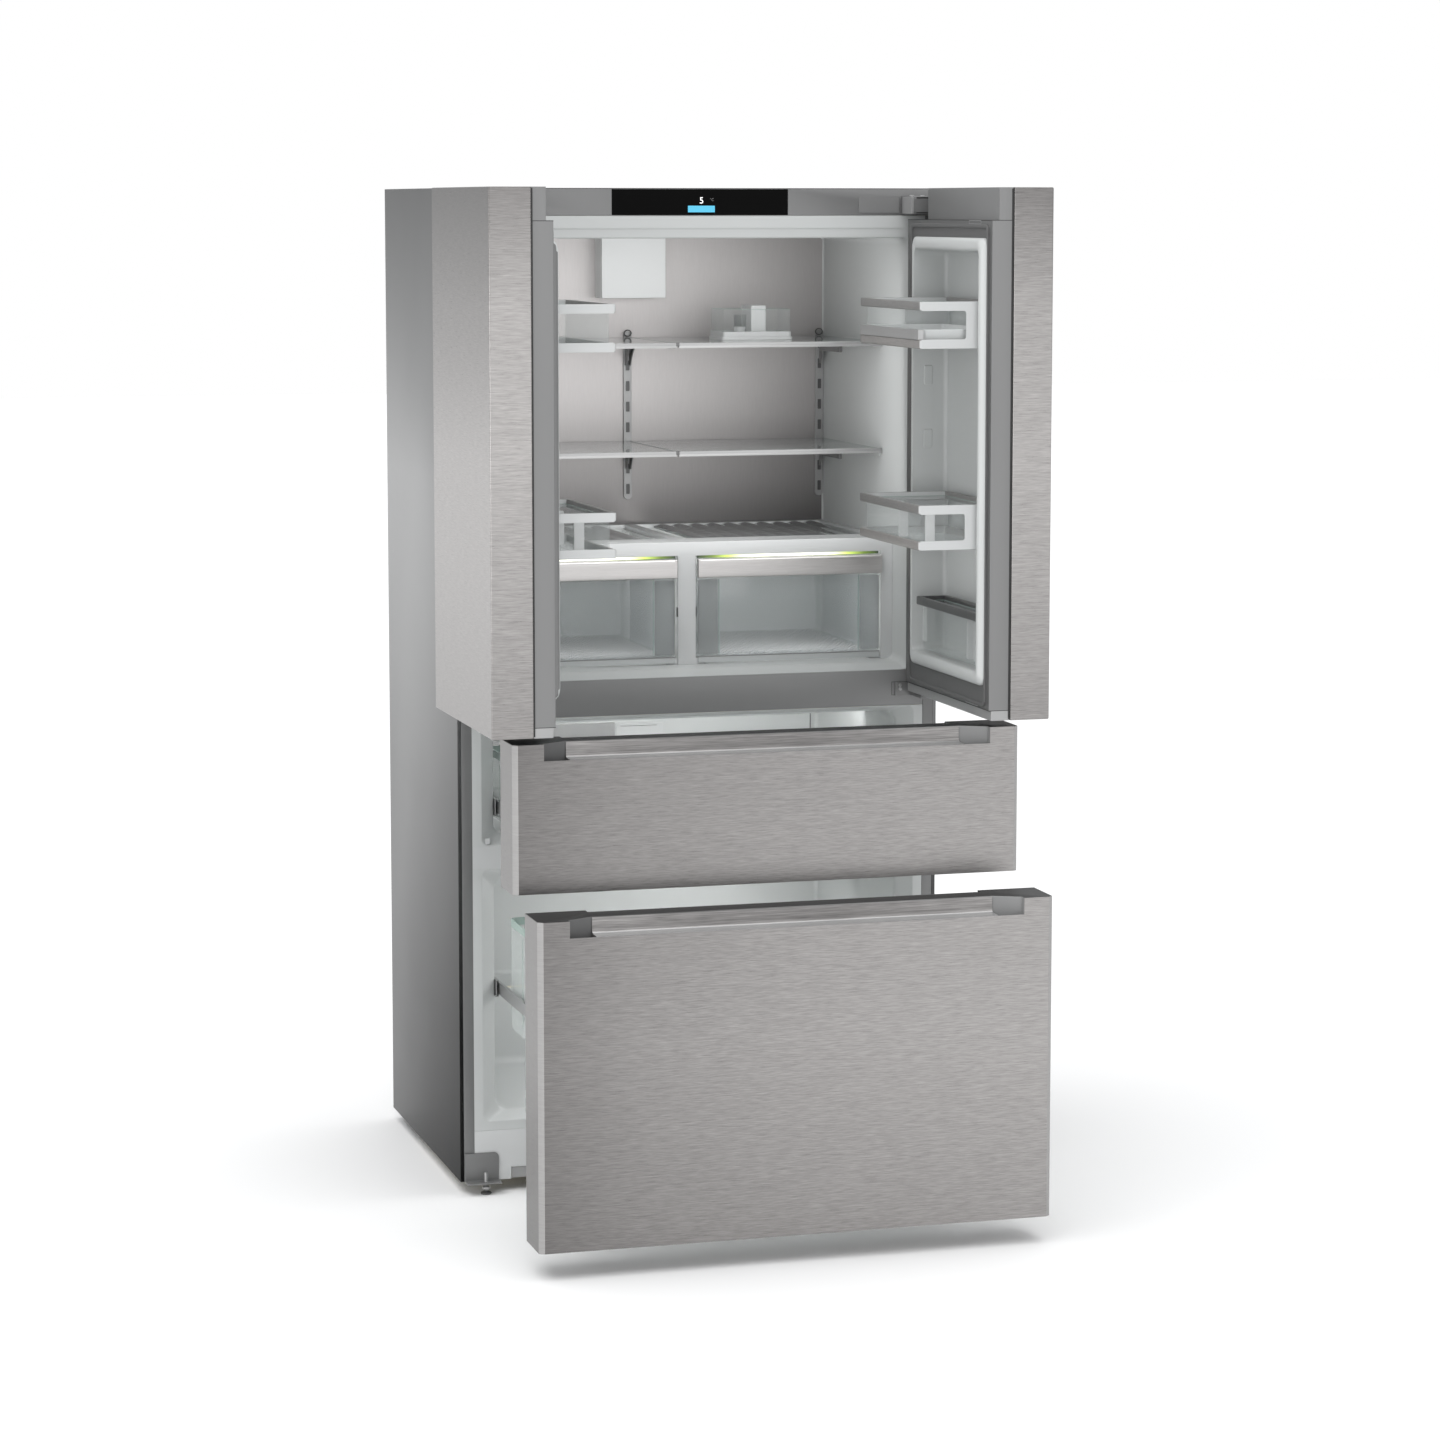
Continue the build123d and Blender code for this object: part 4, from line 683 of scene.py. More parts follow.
doorLook = {
    "away": (2, 455), "depth": (-119, -47.5), "height": (897, 1820),
    "turned": (379.5, 476),  # where depth and away are counted from while the door stands open
    "pocket": ((377.75, 456), (-74.25, 1), (1764, 1821)),  # cut for the hinge arm
    "frontEdge": 2.6, "corner": 1.5, "sheet": 0.8, "hem": (6.5, 0.35),  # the hem's width and thickness
    "gap": (2.2, 5.8), "gapDepth": (-47.3, -43.6),  # black band in the shadow gap behind the skin, painted shade: its inset, width and depth
    # where the door's body changes its finish
    "neck": (-47.6, -45.6), "cap": (914.5, -45.4), "pocketFace": (377.7, 1763.9, -44), "inside": -8.7,
}
seamLook = {"away": (4.75, 452.2), "depth": (-45.2, -7.85), "heights": ((913.9, 915.1), (1763.0, 1764.1))}
latchLook = {"away": (62, 124), "depth": (-20, -7.7), "rim": 1.2, "deeper": 3,
             "heights": {"top": (1756.4, 1763.4), "bottom": (916.2, 922.2)}}


def doorPlace(hand):
    # a door's own coordinates: away from the middle when shut, depth from the cabinet's front, height
    across, forward = doorLook["turned"]
    return lambda away, depth, z: (hand * (across - depth), away - forward, z)


def inDoor(hand, test):
    across, forward = doorLook["turned"]
    return lambda x, y, z: test(y + forward, across - hand * x, z)


def makeDoorShell(hand, door):
    look = doorLook
    away, (front, rear), height = look["away"], look["depth"], look["height"]
    corner, sheet, place = look["corner"], look["sheet"], doorPlace(hand)
    sections = [(0.5, rear), (0, rear - 0.5)]
    sections += [(inset, front + back) for inset, back in roundOver(look["frontEdge"], 4)]
    skin = Shape(place).loft([
        ring("xz", grown(away, -inset), grown(height, -inset), corner, at) for inset, at in sections
    ]).piece(door + "_steel_skin", door, "door_steel", (door + "_skin",))
    hollow = Shape(place).box(grown(away, -sheet), (front + sheet, rear + 1), grown(height, -sheet))
    carve(skin, hollow, Shape(place).box(*look["pocket"]))
    wide, thick = look["hem"]
    gapInset, gapWide = look["gap"]
    for name, inset, depth, width, radius, edge, slot, finish in (
        # the hem takes the brighter steel: a painted highlight
        ("_skin_hem", 0.2, (rear, rear + thick), wide, corner, 0.15, "door_steel", "hem"),
        # a black band in the shadow gap: painted shade
        ("_painted_shadow_gap", gapInset, look["gapDepth"], gapWide, 1.5, 0.2, "frame_grey", "black_plastic"),
    ):
        strip = Shape(place).band("xz", grown(away, -inset), grown(height, -inset), depth, width, radius, edge)
        carve(strip.piece(door + name, door, slot, looks=(finish,)), Shape(place).box(*look["pocket"]))


def makeDoorFrame(hand, door):
    (neckLow, neckHigh), (capTop, capDepth) = doorLook["neck"], doorLook["cap"]
    pocketAway, pocketLow, pocketDepth = doorLook["pocketFace"]
    roundedCopy(door + "_body", 1.0, 3, paints=(
        # the neck in the shadow gap is painted black: painted shade
        ("black_plastic", inDoor(hand, lambda away, depth, z: neckLow < depth < neckHigh)),
        ("capGrey", inDoor(hand, lambda away, depth, z: z < capTop and depth > capDepth)),
        ("hinge_metal", inDoor(
            hand, lambda away, depth, z: away > pocketAway and z > pocketLow and depth < pocketDepth)),
        # the inner face takes the darker copy of the frame grey: painted shade
        ("frameShade", inDoor(hand, lambda away, depth, z: depth > doorLook["inside"])),
    ), cuts=(capTop,))
    away, (low, high) = latchLook["away"], latchLook["depth"]
    for end, z in latchLook["heights"].items():
        latch = Shape(doorPlace(hand)).band("xz", away, z, (low, high), latchLook["rim"], 1.2, 0.3)
        # the black inset at the bottom of each latch slot is painted shade
        latch.slab("xz", grown(away, -1), grown(z, -0.6), (low, high - latchLook["deeper"]), 0.8, 0.2, 1)
        latch.piece(f"{door}_latch_{end}", door, "frame_grey", looks=("capGrey", "black_plastic"))
    seam = Shape(doorPlace(hand))
    for z in seamLook["heights"]:
        seam.slab("xz", seamLook["away"], z, seamLook["depth"], 0.4, 0.1)
    seam.piece(door + "_cap_seam", door, "frame_grey", looks=("black_plastic",))


linerLook = {
    "outer": ((22, 408), (956, 1733), 17), "recess": ((41, 398), (979, 1710), 12),
    "rim": 6.5, "fade": (270, 385),  # the rim's height, and where it dies away towards the hinge
    # (share of the way inwards, depth, share of the rim's height)
    "profile": [(0, -8, 0), (0, -2.2, 0), (0.05, -0.8, 0.04), (0.14, -0.2, 0.3), (0.26, 0, 0.72), (0.42, 0, 0.96),
                (0.58, 0, 1), (0.74, 0, 0.94), (0.87, 0, 0.7), (0.96, -0.4, 0.3), (1, -2.5, 0)],
    "taper": 2.4, "foot": 9.0, "floor": -65.5,
    "lug": {"depth": (-37, -21), "inset": 12, "corner": 3.0, "proud": 3.6},  # moulded seats of the bins
    "spare": ((1465, 1500), (1350, 1384), (1236, 1270)),  # blank seats between the middle bin and the top one
    "shade": (-0.25, -450),  # the left rim's outer side, painted in the frame's grey as shade: its slant, and how far forward it starts
}
binLook = {
    "away": (45, 373.5), "back": -60, "rail": (15, 8), "corner": 4, "railEdge": 1.5,
    "plate": 3.0, "plateArm": 16, "plateBack": {-1: 58, 1: 84},  # side plates with an opening towards the front
    "plateReach": 4, "plateCut": 3, "overlap": (0.15, 0.1),
    "wall": 2.5, "foot": 5.0, "boxCorner": 7, "lean": 1.2,
    "heights": (((1543, 1624), 109.5), ((1194, 1272), 109.5), ((983, 1081), 0.0)),  # from the top bin down
}
insertLook = {
    "tray": ((57, 361), (-47, 101), 1576), "rise": 4, "wall": 3, "strip": (17.6, -0.3, 9.6),
    # fins: which bin, places along it, span behind its front, above its foot, below its rim
    "fins": ((1, (118, 262), (56, 38), 6, 12), (2, (92, 128), (26, 11.5), 8, 20)),
}


def makeDoorLiner(hand, door):
    look = linerLook
    (away, height, corner), (inAway, inHeight, inCorner) = look["outer"], look["recess"]
    outside = ring("xz", away, height, corner, 0)
    edge = ring("xz", inAway, inHeight, inCorner, 0)
    start, stop = look["fade"]

    def rimAt(points, depth, share):
        spots = []
        for along, _, z in points:
            kept = min(1, max(0, (stop - along) / (stop - start)))
            spots.append((along, depth + look["rim"] * share * kept * kept * (3 - 2 * kept), z))
        return spots

    rings = [rimAt(mixRings(outside, edge, share), depth, rim) for share, depth, rim in look["profile"]]
    taper, foot, floor = look["taper"], look["foot"], look["floor"]
    for inset, back in [(0, foot), *roundOver(foot, 4)]:
        inset += taper
        rings.append(ring("xz", grown(inAway, -inset), grown(inHeight, -inset), inCorner, floor + back))
    liner = Shape(doorPlace(hand)).loft(rings, start=False)
    lug = look["lug"]
    (left, right), binAway, proud = inAway, binLook["away"], lug["proud"]
    for (bottom, top), front in binLook["heights"]:
        for side in ((left - 1, binAway[0] + 0.4), (binAway[1] - 0.4, right + 1)):
            liner.slab("yz", lug["depth"], (bottom + lug["inset"], top - lug["inset"]), side, lug["corner"], 0.2)
    for span in look["spare"]:
        for side in ((right - proud, right + 1), (left - 1, left + proud)):
            liner.slab("yz", lug["depth"], span, side, lug["corner"], 1.2)
    moulded = liner.piece(door + "_moulded_liner", door, "white_liner", (door + "_liner",), (
        "white_liner", "frame_grey"), angle=50)
    if hand < 0:
        # the left rim's outer side takes the frame's grey: painted shade
        slant, forward = look["shade"]
        paintFaces(moulded, [(1, lambda normal, middle: normal.y < slant and middle.y < forward)])


sealLook = {
    "outside": ((18.5, 427), (919, 1757), 14),
    "profile": [(0, -8), (0, -6.9), (1.2, -6.4), (1.2, -5.8), (0, -5.3), (0.5, -4.4), (1.6, -4), (5.2, -4),
                (6.4, -4.4), (6.9, -5), (6, -5.6), (6.4, -6.4), (7.2, -6.8)],
    "tuck": (0.5, 16, -7),  # where it ends against the liner: inset, corner and depth
}


def makeDoorSeal(hand, door):
    outside, height, corner = sealLook["outside"]
    away, tall, _ = linerLook["outer"]
    inset, radius, depth = sealLook["tuck"]
    rings = [ring("xz", grown(outside, -step), grown(height, -step), corner - step, at)
             for step, at in sealLook["profile"]]
    rings.append(ring("xz", grown(away, -inset), grown(tall, -inset), radius, depth))
    seal = Shape(doorPlace(hand)).loft(rings, start=False, end=False)
    seal.piece(door + "_bellows_seal", door, "seal_grey", (door + "_gasket",))


def makeDoorBins(hand, door):
    look, place = binLook, doorPlace(hand)
    away, back, (tall, wide) = look["away"], look["back"], look["rail"]
    arm, plate, cut, spine = look["plateArm"], look["plate"], look["plateCut"], back + look["plateBack"][hand]
    over, gap = look["overlap"]
    rails, boxes = Shape(place), Shape(place)

    def rail(z, front, paint):
        rails.band("xy", away, (back, front), z, wide, look["corner"], look["railEdge"], paint)

    for (low, high), front in look["heights"]:
        lowBin = front == 0
        rail((high - tall, high), front, 3 if lowBin else 1)
        boxes.tub(
            grown(away, -wide - gap), grown((back, front), -wide - gap), (low + 0.4, high - tall / 2),
            look["wall"], look["boxCorner"], look["foot"], look["lean"], rimLook=1,
        )
        if lowBin:  # it hangs in its top rail alone
            continue
        rail((low, low + tall), front, 2)
        reach = front - look["plateReach"]
        outline = [
            (back, low), (reach, low), (reach, low + arm), (spine + cut, low + arm), (spine, low + arm + cut),
            (spine, high - arm - cut), (spine + cut, high - arm), (reach, high - arm), (reach, high), (back, high),
        ]
        for sides in ((away[0] - over, away[0] + plate), (away[1] - plate, away[1] + over)):
            rails.prism("yz", outline, sides)
    railPiece = rails.piece(door + "_bin_rails", door, "bin_trim", (door + "_bin_frames",), (
        "bin_trim", "railSteel", "railSteelLow", "darkRail"))
    lowBinTop = look["heights"][2][0][1]
    paintFaces(railPiece, [(0, lambda normal, middle: abs(normal.y) > 0.6 and middle.z > lowBinTop)])
    roundEdges(railPiece, 0.5, 2, 60)
    boxes.piece(door + "_bin_boxes", door, "clear_plastic", (door + "_bin_glass",), ("clear_plastic", "glassEdge"))

    insert = Shape(place)
    if hand > 0:  # the right door's top bin holds a white tray with a brushed edge
        trayAway, depth, top = insertLook["tray"]
        stripTall, stripBack, stripFront = insertLook["strip"]
        floor = look["heights"][0][0][0] + insertLook["rise"]
        insert.tub(trayAway, depth, (floor, top), insertLook["wall"], 8, 6, 1.5)
        insert.slab("xz", grown(trayAway, 8), (top - stripTall, top), (depth[1] + stripBack, depth[1] + stripFront),
                    1, 0.3, 1)
    for row, places, (far, near), rise, drop in insertLook["fins"]:
        (low, high), front = look["heights"][row]
        for along in places:
            insert.slab("yz", (front - far, front - near), (low + rise, high - drop), (along, along + 3), 4, 0.8)
    insert.piece(door + "_bin_inserts", door, "bin_trim", looks=("white_plastic", "stripLip"))


for hand, door in ((-1, "door_left"), (1, "door_right")):
    makeDoorShell(hand, door)
    makeDoorFrame(hand, door)
    makeDoorLiner(hand, door)
    makeDoorSeal(hand, door)
    makeDoorBins(hand, door)
print("doors dressed")


# fridge compartment

shelfTops = (1535.4, 1334.7)
fridgeLook = {
    # (front-to-back place, half width, low, high, corner radius)
    "rings": [
        (0.6, 428.4, 933.6, 1770.6, 1.0), (0, 427.6, 934.4, 1769.8, 1.0), (0, 404.0, 934.4, 1749.6, 13),
        (0.25, 402.0, 934.8, 1747.8, 13), (0.9, 401.0, 935.0, 1746.8, 13), (1.5, 400.6, 935.1, 1745.6, 13),
        (1.5, 400.5, 935.1, 1733.0, 12), (1.9, 400.1, 935.2, 1730.9, 12), (3.2, 400, 935.6, 1730, 12),
        (20, 400, 939.6, 1730, 12), (36, 400, 944.2, 1730, 12), (44, 400, 945, 1730, 12), (300, 400, 945, 1730, 12),
        (515, 400, 945, 1730, 8), (521, 399, 946.5, 1729, 8), (523.6, 396, 950, 1726, 8),
    ],
    "ledge": ((398.4, 401), (170, 512), 9, 6.5),  # a rib under each shelf's outer edge: its height, and how far below
}


def tunnel(shape, rows, steps=5):
    # a lined opening whose section changes from front to back
    rings = [ring("xz", (-half, half), (low, high), corner, y, steps) for y, half, low, high, corner in rows]
    return shape.loft(rings, start=False)


liner = tunnel(Shape(), fridgeLook["rings"])
x, y, tall, below = fridgeLook["ledge"]
for top in shelfTops:
    for hand in (-1, 1):
        liner.slab("yz", y, (top - below - tall, top - below), (hand * x[0], hand * x[1]), 4, 0.6)
liner.piece("fridge_moulded_liner", "cabinet", "white_liner", ("fridge_liner",), angle=50)

railLook = {"x": (-390, 0, 390), "half": 8, "y": (517.8, 522.8), "z": (1221, 1547), "slot": (3.5, 9.5, 1.3),
            "first": 1241, "pitch": 40, "count": 8}
rails = Shape()
half, tall, rim = railLook["slot"]
face = railLook["y"][0]
for middle in railLook["x"]:
    rails.slab("xz", about(middle, railLook["half"]), railLook["z"], railLook["y"], 7.5, 0.7)
    for row in range(railLook["count"]):
        z = railLook["first"] + railLook["pitch"] * row
        rails.band("xz", about(middle, half + rim), about(z, tall + rim), (face - 0.5, face + 0.6), rim, 2, 0.3)
        rails.slab("xz", about(middle, half), about(z, tall), (face - 0.1, face + 0.6), 1.2, 0.1, 1)
rails.piece("shelf_slotted_rails", "cabinet", "rail_metal", ("shelf_rails",), ("slotRail", "darkRail"))

shelfLook = {"x": (2, 398), "y": (160, 514), "thick": 4.4, "corner": 5, "edge": 0.9}
paneLook = {"x": (49, 385), "y": (175, 505), "z": (1164.5, 1168.5), "count": 10, "rise": 3.9, "steps": 8}
shelfLevel = 1175  # between the fluted panes and the shelves
glass = Shape()
for top in shelfTops:
    for hand in (-1, 1):
        glass.slab("xy", mirrored(hand, shelfLook["x"]), shelfLook["y"], (top - shelfLook["thick"], top),
                   shelfLook["corner"], shelfLook["edge"], look=1, capLook=0)
(start, stop), (foot, top), steps = paneLook["x"], paneLook["z"], paneLook["steps"]
pitch = (stop - start) / paneLook["count"]
for hand in (-1, 1):
    outline = []
    for flute in range(paneLook["count"]):
        for step in range(steps):
            rise = paneLook["rise"] * math.sin(math.pi * step / steps)
            outline.append((hand * (start + pitch * (flute + step / steps)), top + rise))
    outline += [(hand * stop, top), (hand * stop, foot), (hand * start, foot)]
    glass.prism("xz", outline, paneLook["y"], look=2)
panes = glass.piece("shelf_panes", "cabinet", "shelf_glass", ("glass_shelves",), (
    "shelf_glass", "glassEdge", "flutedGlass", "fluteShade", "groove"), angle=60)
# the left-facing slopes of the flutes take a darker clear finish: painted shade
paintFaces(panes, [
    (3, lambda normal, middle: middle.z < shelfLevel and normal.x < -0.08 and normal.z > 0.5),
    (4, lambda normal, middle: middle.z > shelfLevel and (
        normal.y > 0.5 or (abs(normal.x) > 0.5 and abs(middle.x) < 10))),
])

fittingLook = {
    "trim": (4.4, 30, 175),  # how far below a pane the front trim starts, how tall and how deep it is
    "clip": ((0, 388), (9, 7), (511, 514), 1.8),  # wire clips of the top shelf: places, size, depth, wire
    "joint": ((-3.5, 3.5), (152.5, 157.5), (5.5, 1.6)), "arm": ((-330, 330), 3, (21, 4.6), (196, 320)),
}
below, tall, deep = fittingLook["trim"]
edges = [top - below for top in shelfTops]
roundedCopy("shelf_supports", 0.4, 2, paints=[
    ("slotRail", lambda x, y, z, edge=edge: edge - tall < z < edge and y < deep) for edge in edges], cuts=edges)
fittings = Shape()
places, (wide, tall), y, wire = fittingLook["clip"]
for middle in places:
    z = (shelfTops[0] + 1, shelfTops[0] + 1 + 2 * tall)
    fittings.band("xz", (middle - wide, middle + wide - 2), z, y, wire, 8, 0.6, 1)
x, y, (below, above) = fittingLook["joint"]
armPlaces, armHalf, (armLow, armHigh), armY = fittingLook["arm"]
for top in shelfTops:
    fittings.slab("xy", x, y, (top - below, top + above), 1.5, 0.5, 1)
    for middle in armPlaces:
        fittings.slab("xz", about(middle, armHalf), (top - armLow, top - armHigh), armY, 1.5, 0.6, 1)
fittings.piece("shelf_fittings", "cabinet", "shelf_metal", looks=("shelf_metal", "darkRail"))

filterLook = {"x": (-63.5, 63.5), "z": (1612, 1730), "y": (468.8, 522.8), "corner": 1.4, "edge": 1.2,
              "groove": (9, 1.2, 1.6), "slots": (7, 3, 16, 8)}  # slots: how many, half width, front and rear margins
x, (front, back), z, corner = filterLook["x"], filterLook["y"], filterLook["z"], filterLook["corner"]
deep, wide, inset = filterLook["groove"]
count, half, frontGap, backGap = filterLook["slots"]
filterBox = Shape().slab("xz", x, z, (front, front + deep), corner, filterLook["edge"])
neck = grown((front + deep, front + deep + wide), 0.5)
filterBox.slab("xz", grown(x, -inset), grown(z, -inset), neck, corner, 0.2, 1)
filterBox.slab("xz", x, z, (front + deep + wide, back), corner, 0.8)
for slot in range(count):  # air slots in its underside
    middle = x[0] + (x[1] - x[0]) * (slot + 1) / (count + 1)
    y = (front + frontGap, back - backGap)
    filterBox.slab("xy", about(middle, half), y, (z[0] - 0.2, z[0] + 0.6), 2.5, 0.1, 1)
# the air filter takes the brighter white: painted light
filterBox.piece("air_filter_case", "cabinet", "white_plastic", ("air_filter_box",), ("filterWhite", "groove"))

trayLook = {
    "x": (131, 271), "y": (310, 405), "z": (1535.4, 1551), "plate": 5.5, "dish": 2.2,
    "block": ((192, 222), (324, 391), 1600), "box": (3.4, 1593, 2.2),  # clear box: inset, top and wall
    "cup": ((178, 352), (1539, 1582), 12, 20),  # place, span, radius, and where its clear part starts
}
x, y, (low, high), (inset, boxTop, wall) = trayLook["x"], trayLook["y"], trayLook["z"], trayLook["box"]
tray = Shape().slab("xy", x, y, (low, low + trayLook["plate"]), 6, 0.8)
tray.tub(grown(x, -trayLook["dish"]), grown(y, -trayLook["dish"]), (low + 2, high), 3, 5, 2)
blockX, blockY, top = trayLook["block"]
tray.slab("xy", blockX, blockY, (low + 3, top), 2.5, 1.2)
tray.slab("xy", grown(blockX, -4), grown(blockY, -6), (top - 3, top + 0.4), 3, 0.3)
tray.tub(grown(x, -inset), grown(y, -inset), (high - 6, boxTop), wall, 4, 1, look=1, rimLook=2)
(cupX, cupY), (cupLow, cupTop), radius, seam = trayLook["cup"]
tall = cupTop - cupLow - seam
for start, look, profile in (
    (0, 0, [(0, radius * 0.7), (1.5, radius * 0.86), (seam, radius * 0.93), (seam + 0.6, radius * 0.8)]),
    (seam, 1, [(0, radius * 0.93), (tall - 1, radius), (tall, radius - 0.6), (1, radius * 0.8)]),
):
    tray.turned((cupX, cupY, cupLow + start), (0, 0, 1), profile, look=look)
tray.piece("storage_tray", "cabinet", "white_plastic", ("shelf_tray",), (
    "white_plastic", "clear_plastic", "glassEdge"))

roundedCopy("crisper_cover", 1.2, 3)
clipLook = {"x": (-18, 18), "half": 1.3, "z": (1034, 1052), "y": (92.6, 96)}
clips = Shape()
for middle in clipLook["x"]:
    clips.slab("xz", about(middle, clipLook["half"]), clipLook["z"], clipLook["y"], 0.8, 0.3)
clips.piece("crisper_clips", "cabinet", "white_plastic", looks=("darkRail",))

crisperLook = {
    "x": (20, 377), "y": (93, 498), "z": (957, 1130), "wall": 2.5, "corner": 9, "lean": 1.0,
    "ribs": (0.12, 0.88), "rib": (0.7, (2, 5.5)), "band": (21.4, 19, (2.4, 4.2)), "margin": (6, 28),
    "skirt": (-9, 1), "groove": (1.0, 3.0),
    "studs": {"pitch": 9, "half": 2.0, "start": (18, 22), "clear": (30, 40), "z": (2.4, 5.2)},
    # the handle bar's section, a pressed strip that turns back over the top, hollow for the fingers
    "bar": [(84.3, 1106.6), (84, 1107.6), (84, 1134.6), (84.6, 1138.2), (86.4, 1140.4), (89, 1141), (93, 1141),
            (93, 1137.2), (89.6, 1137.2), (88.2, 1136), (87.8, 1133.4), (87.8, 1107.6), (87.2, 1106.2), (85, 1106)],
    "barEnd": ((84.2, 93), (1106.2, 1140.8), 4),
}


def makeCrisper(hand, name):
    look = crisperLook
    inner, outer = look["x"]
    (front, back), (low, high), x = look["y"], look["z"], mirrored(hand, look["x"])
    corner = look["corner"]
    box = Shape().tub(x, (front, back), (low, high), look["wall"], corner, corner, look["lean"], rimLook=1)
    foot, drop = look["margin"]
    z = (low + foot, high - drop)
    half, (start, stop) = look["rib"]
    for share in look["ribs"]:  # upright ribs near both sides of its front
        box.slab("xz", about(x[0] + (x[1] - x[0]) * share, half), z, (front + start, front + stop), 0.5, 0.2, 1)
    inset, half, (start, stop) = look["band"]
    for middle, paint in ((hand * (inner + inset), 2), (hand * (outer - inset), 5)):
        box.slab("xz", about(middle, half), z, (front + start, front + stop), 3, 0.4, paint)
    for (bottom, top), y, corner, edge, paint in (  # skirt before the runners, and the line above it
        (look["skirt"], (front, front + 3), 1.5, 0.5, 4), (look["groove"], (front - 0.2, front + 2), 0.5, 0.2, 3),
    ):
        box.slab("xz", grown(x, -2), (low + bottom, low + top), y, corner, edge, paint)
    box.piece(name + "_clear_box", name, "clear_plastic", (name + "_box",), (
        "crisperClear", "glassEdge", "sideBand", "groove", "crisperSkirt", "paleBand"))

    studs, dots = Shape(), look["studs"]
    pitch, half, (startX, startY), (foot, tip) = dots["pitch"], dots["half"], dots["start"], dots["z"]

    def stud(*spot):
        return studs.mesh.verts.new([value * mm for value in spot])

    for column in range(int((outer - inner - dots["clear"][0]) / pitch)):
        for line in range(int((back - front - dots["clear"][1]) / pitch)):
            across, along = x[0] + startX + pitch * (column + (line % 2) / 2), front + startY + pitch * line
            base = [stud(across + dx * half, along + dy * half, low + foot)
                    for dx, dy in ((-1, 0), (0, -1), (1, 0), (0, 1))]
            point = stud(across, along, low + tip)
            for index in range(4):
                studs.mesh.faces.new((base[index], base[(index + 1) % 4], point))
    studs.piece(name + "_floor_studs", name, "clear_plastic", looks=("groove",))

    bar = Shape().prism("yz", look["bar"], x)
    y, z, wide = look["barEnd"]
    for side in (x[0], x[1] - wide):
        bar.slab("yz", y, z, (side, side + wide), 2, 0.6)
    roundEdges(bar.piece(name + "_bar", name, "handle_metal", (name + "_handle",)), 0.4, 2, 60)


for hand, name in ((-1, "crisper_left"), (1, "crisper_right")):
    makeCrisper(hand, name)
print("fridge compartment dressed")


# front of the cabinet

roundedCopy("front_frame", 0.6)
# the mullion bar takes a lighter grey: painted light
roundedCopy("mullion_bar", 1.2, 3, "mullionGrey")
displayLook = {
    "x": (-165, 165), "z": (1771.8, 1818), "y": (-0.5, 1.0), "bar": ((-23.4, 26.9), (1776.7, 1788.5)),
    # text, middle, foot, height, finish
    "digit": ("5", 2.0, 1792.6, 11.6, "digitWhite"), "unit": ("°C", 21.5, 1797.0, 5.0, "digitGrey"),
    "letter": (1.38, 0.02, -0.55),  # type size for a height of 1, half thickness and depth
}
Shape().slab("xz", displayLook["x"], displayLook["z"], displayLook["y"], 1.2, 0.35).piece(
    "display_glass", "cabinet", "display_glass", ("control_display",))
for part in ("digit", "unit"):
    text, across, low, tall, look = displayLook[part]
    scale, thick, deep = displayLook["letter"]
    letters = bpy.data.curves.new("display_" + part, "FONT")
    letters.body = text
    letters.align_x = "CENTER"
    letters.size = tall * scale * mm
    letters.extrude = thick * mm
    shown = stand("letters", letters)
    mesh = meshOf(shown)
    bpy.data.objects.remove(shown)
    mesh.transform(Matrix.Translation((across * mm, deep * mm, low * mm)) @ Matrix.Rotation(math.pi / 2, 4, "X"))
    mesh.materials.clear()
    mesh.materials.append(finishes[look])
    addPiece("display_" + part, mesh, "cabinet")
Shape().slab("xz", *displayLook["bar"], (-0.56, -0.3), 0.6, 0.02).piece(
    "display_bar", "cabinet", "display_glass", looks=("barBlue",))

hingeLook = {
    "arm": ((381.75, 436.75), (1773, 1806)),
    # flat trims: x, z, y, corner, edge, finish
    "slabs": [
        # the arm's end, in pale steel: a painted highlight
        ((381.35, 385.35), (1774.5, 1804.5), (-61.1, -8), 1.2, 0.4, 3),
        ((385.75, 428.75), (1776.8, 1801.4), (-60.9, -58), 3, 0.6, 0),
        ((300, 378), (1775.5, 1806), (-0.9, 0.2), 1.2, 0.3, 4),
        ((390.75, 432.75), (1801.6, 1803.8), (-60.7, -50), 0.6, 0.2, 1),  # black strips in the gaps of the arm's cover, painted shade
        ((390.75, 432.75), (1775.2, 1776.6), (-60.7, -50), 0.6, 0.2, 1),
    ],
    "lowPlate": ((368, 411), (886.5, 911.5), (-0.35, 0.1)),
    # turned trims: places (x, y, z), axis, profile of (height, radius), sides, finish
    "turned": [
        ([(427.75, -48.25, 1805.6)], (0, 0, 1),
         [(0, 8.4), (1.8, 8.4), (2.6, 7.4), (2.6, 3.4), (1.2, 3.0), (1.0, 0.01)], 24, 0),
        ([(427.75, -48.25, 1765.4)], (0, 0, 1), [(0, 6.6), (1, 8.6), (4.4, 8.6), (5.4, 7.6), (7.8, 7.4)], 24, 2),
        ([(392, -30, 1805.8), (412, -30, 1805.8)], (0, 0, 1),
         [(0, 4.6), (1.4, 4.4), (1.9, 3.4), (1.9, 2.0), (0.9, 1.8), (0.8, 0.01)], 24, 2),
        ([(384, -2.9, 898), (384, -2.9, 905), (433, -2.9, 902)], (0, -1, 0),
         [(0, 3.4), (0.9, 3.2), (1.3, 2.4), (1.3, 1.3), (0.6, 1.2), (0.5, 0.01)], 16, 2),
    ],
}
roundedCopy("hinge_brackets", 1.4, 3)
trims = Shape()
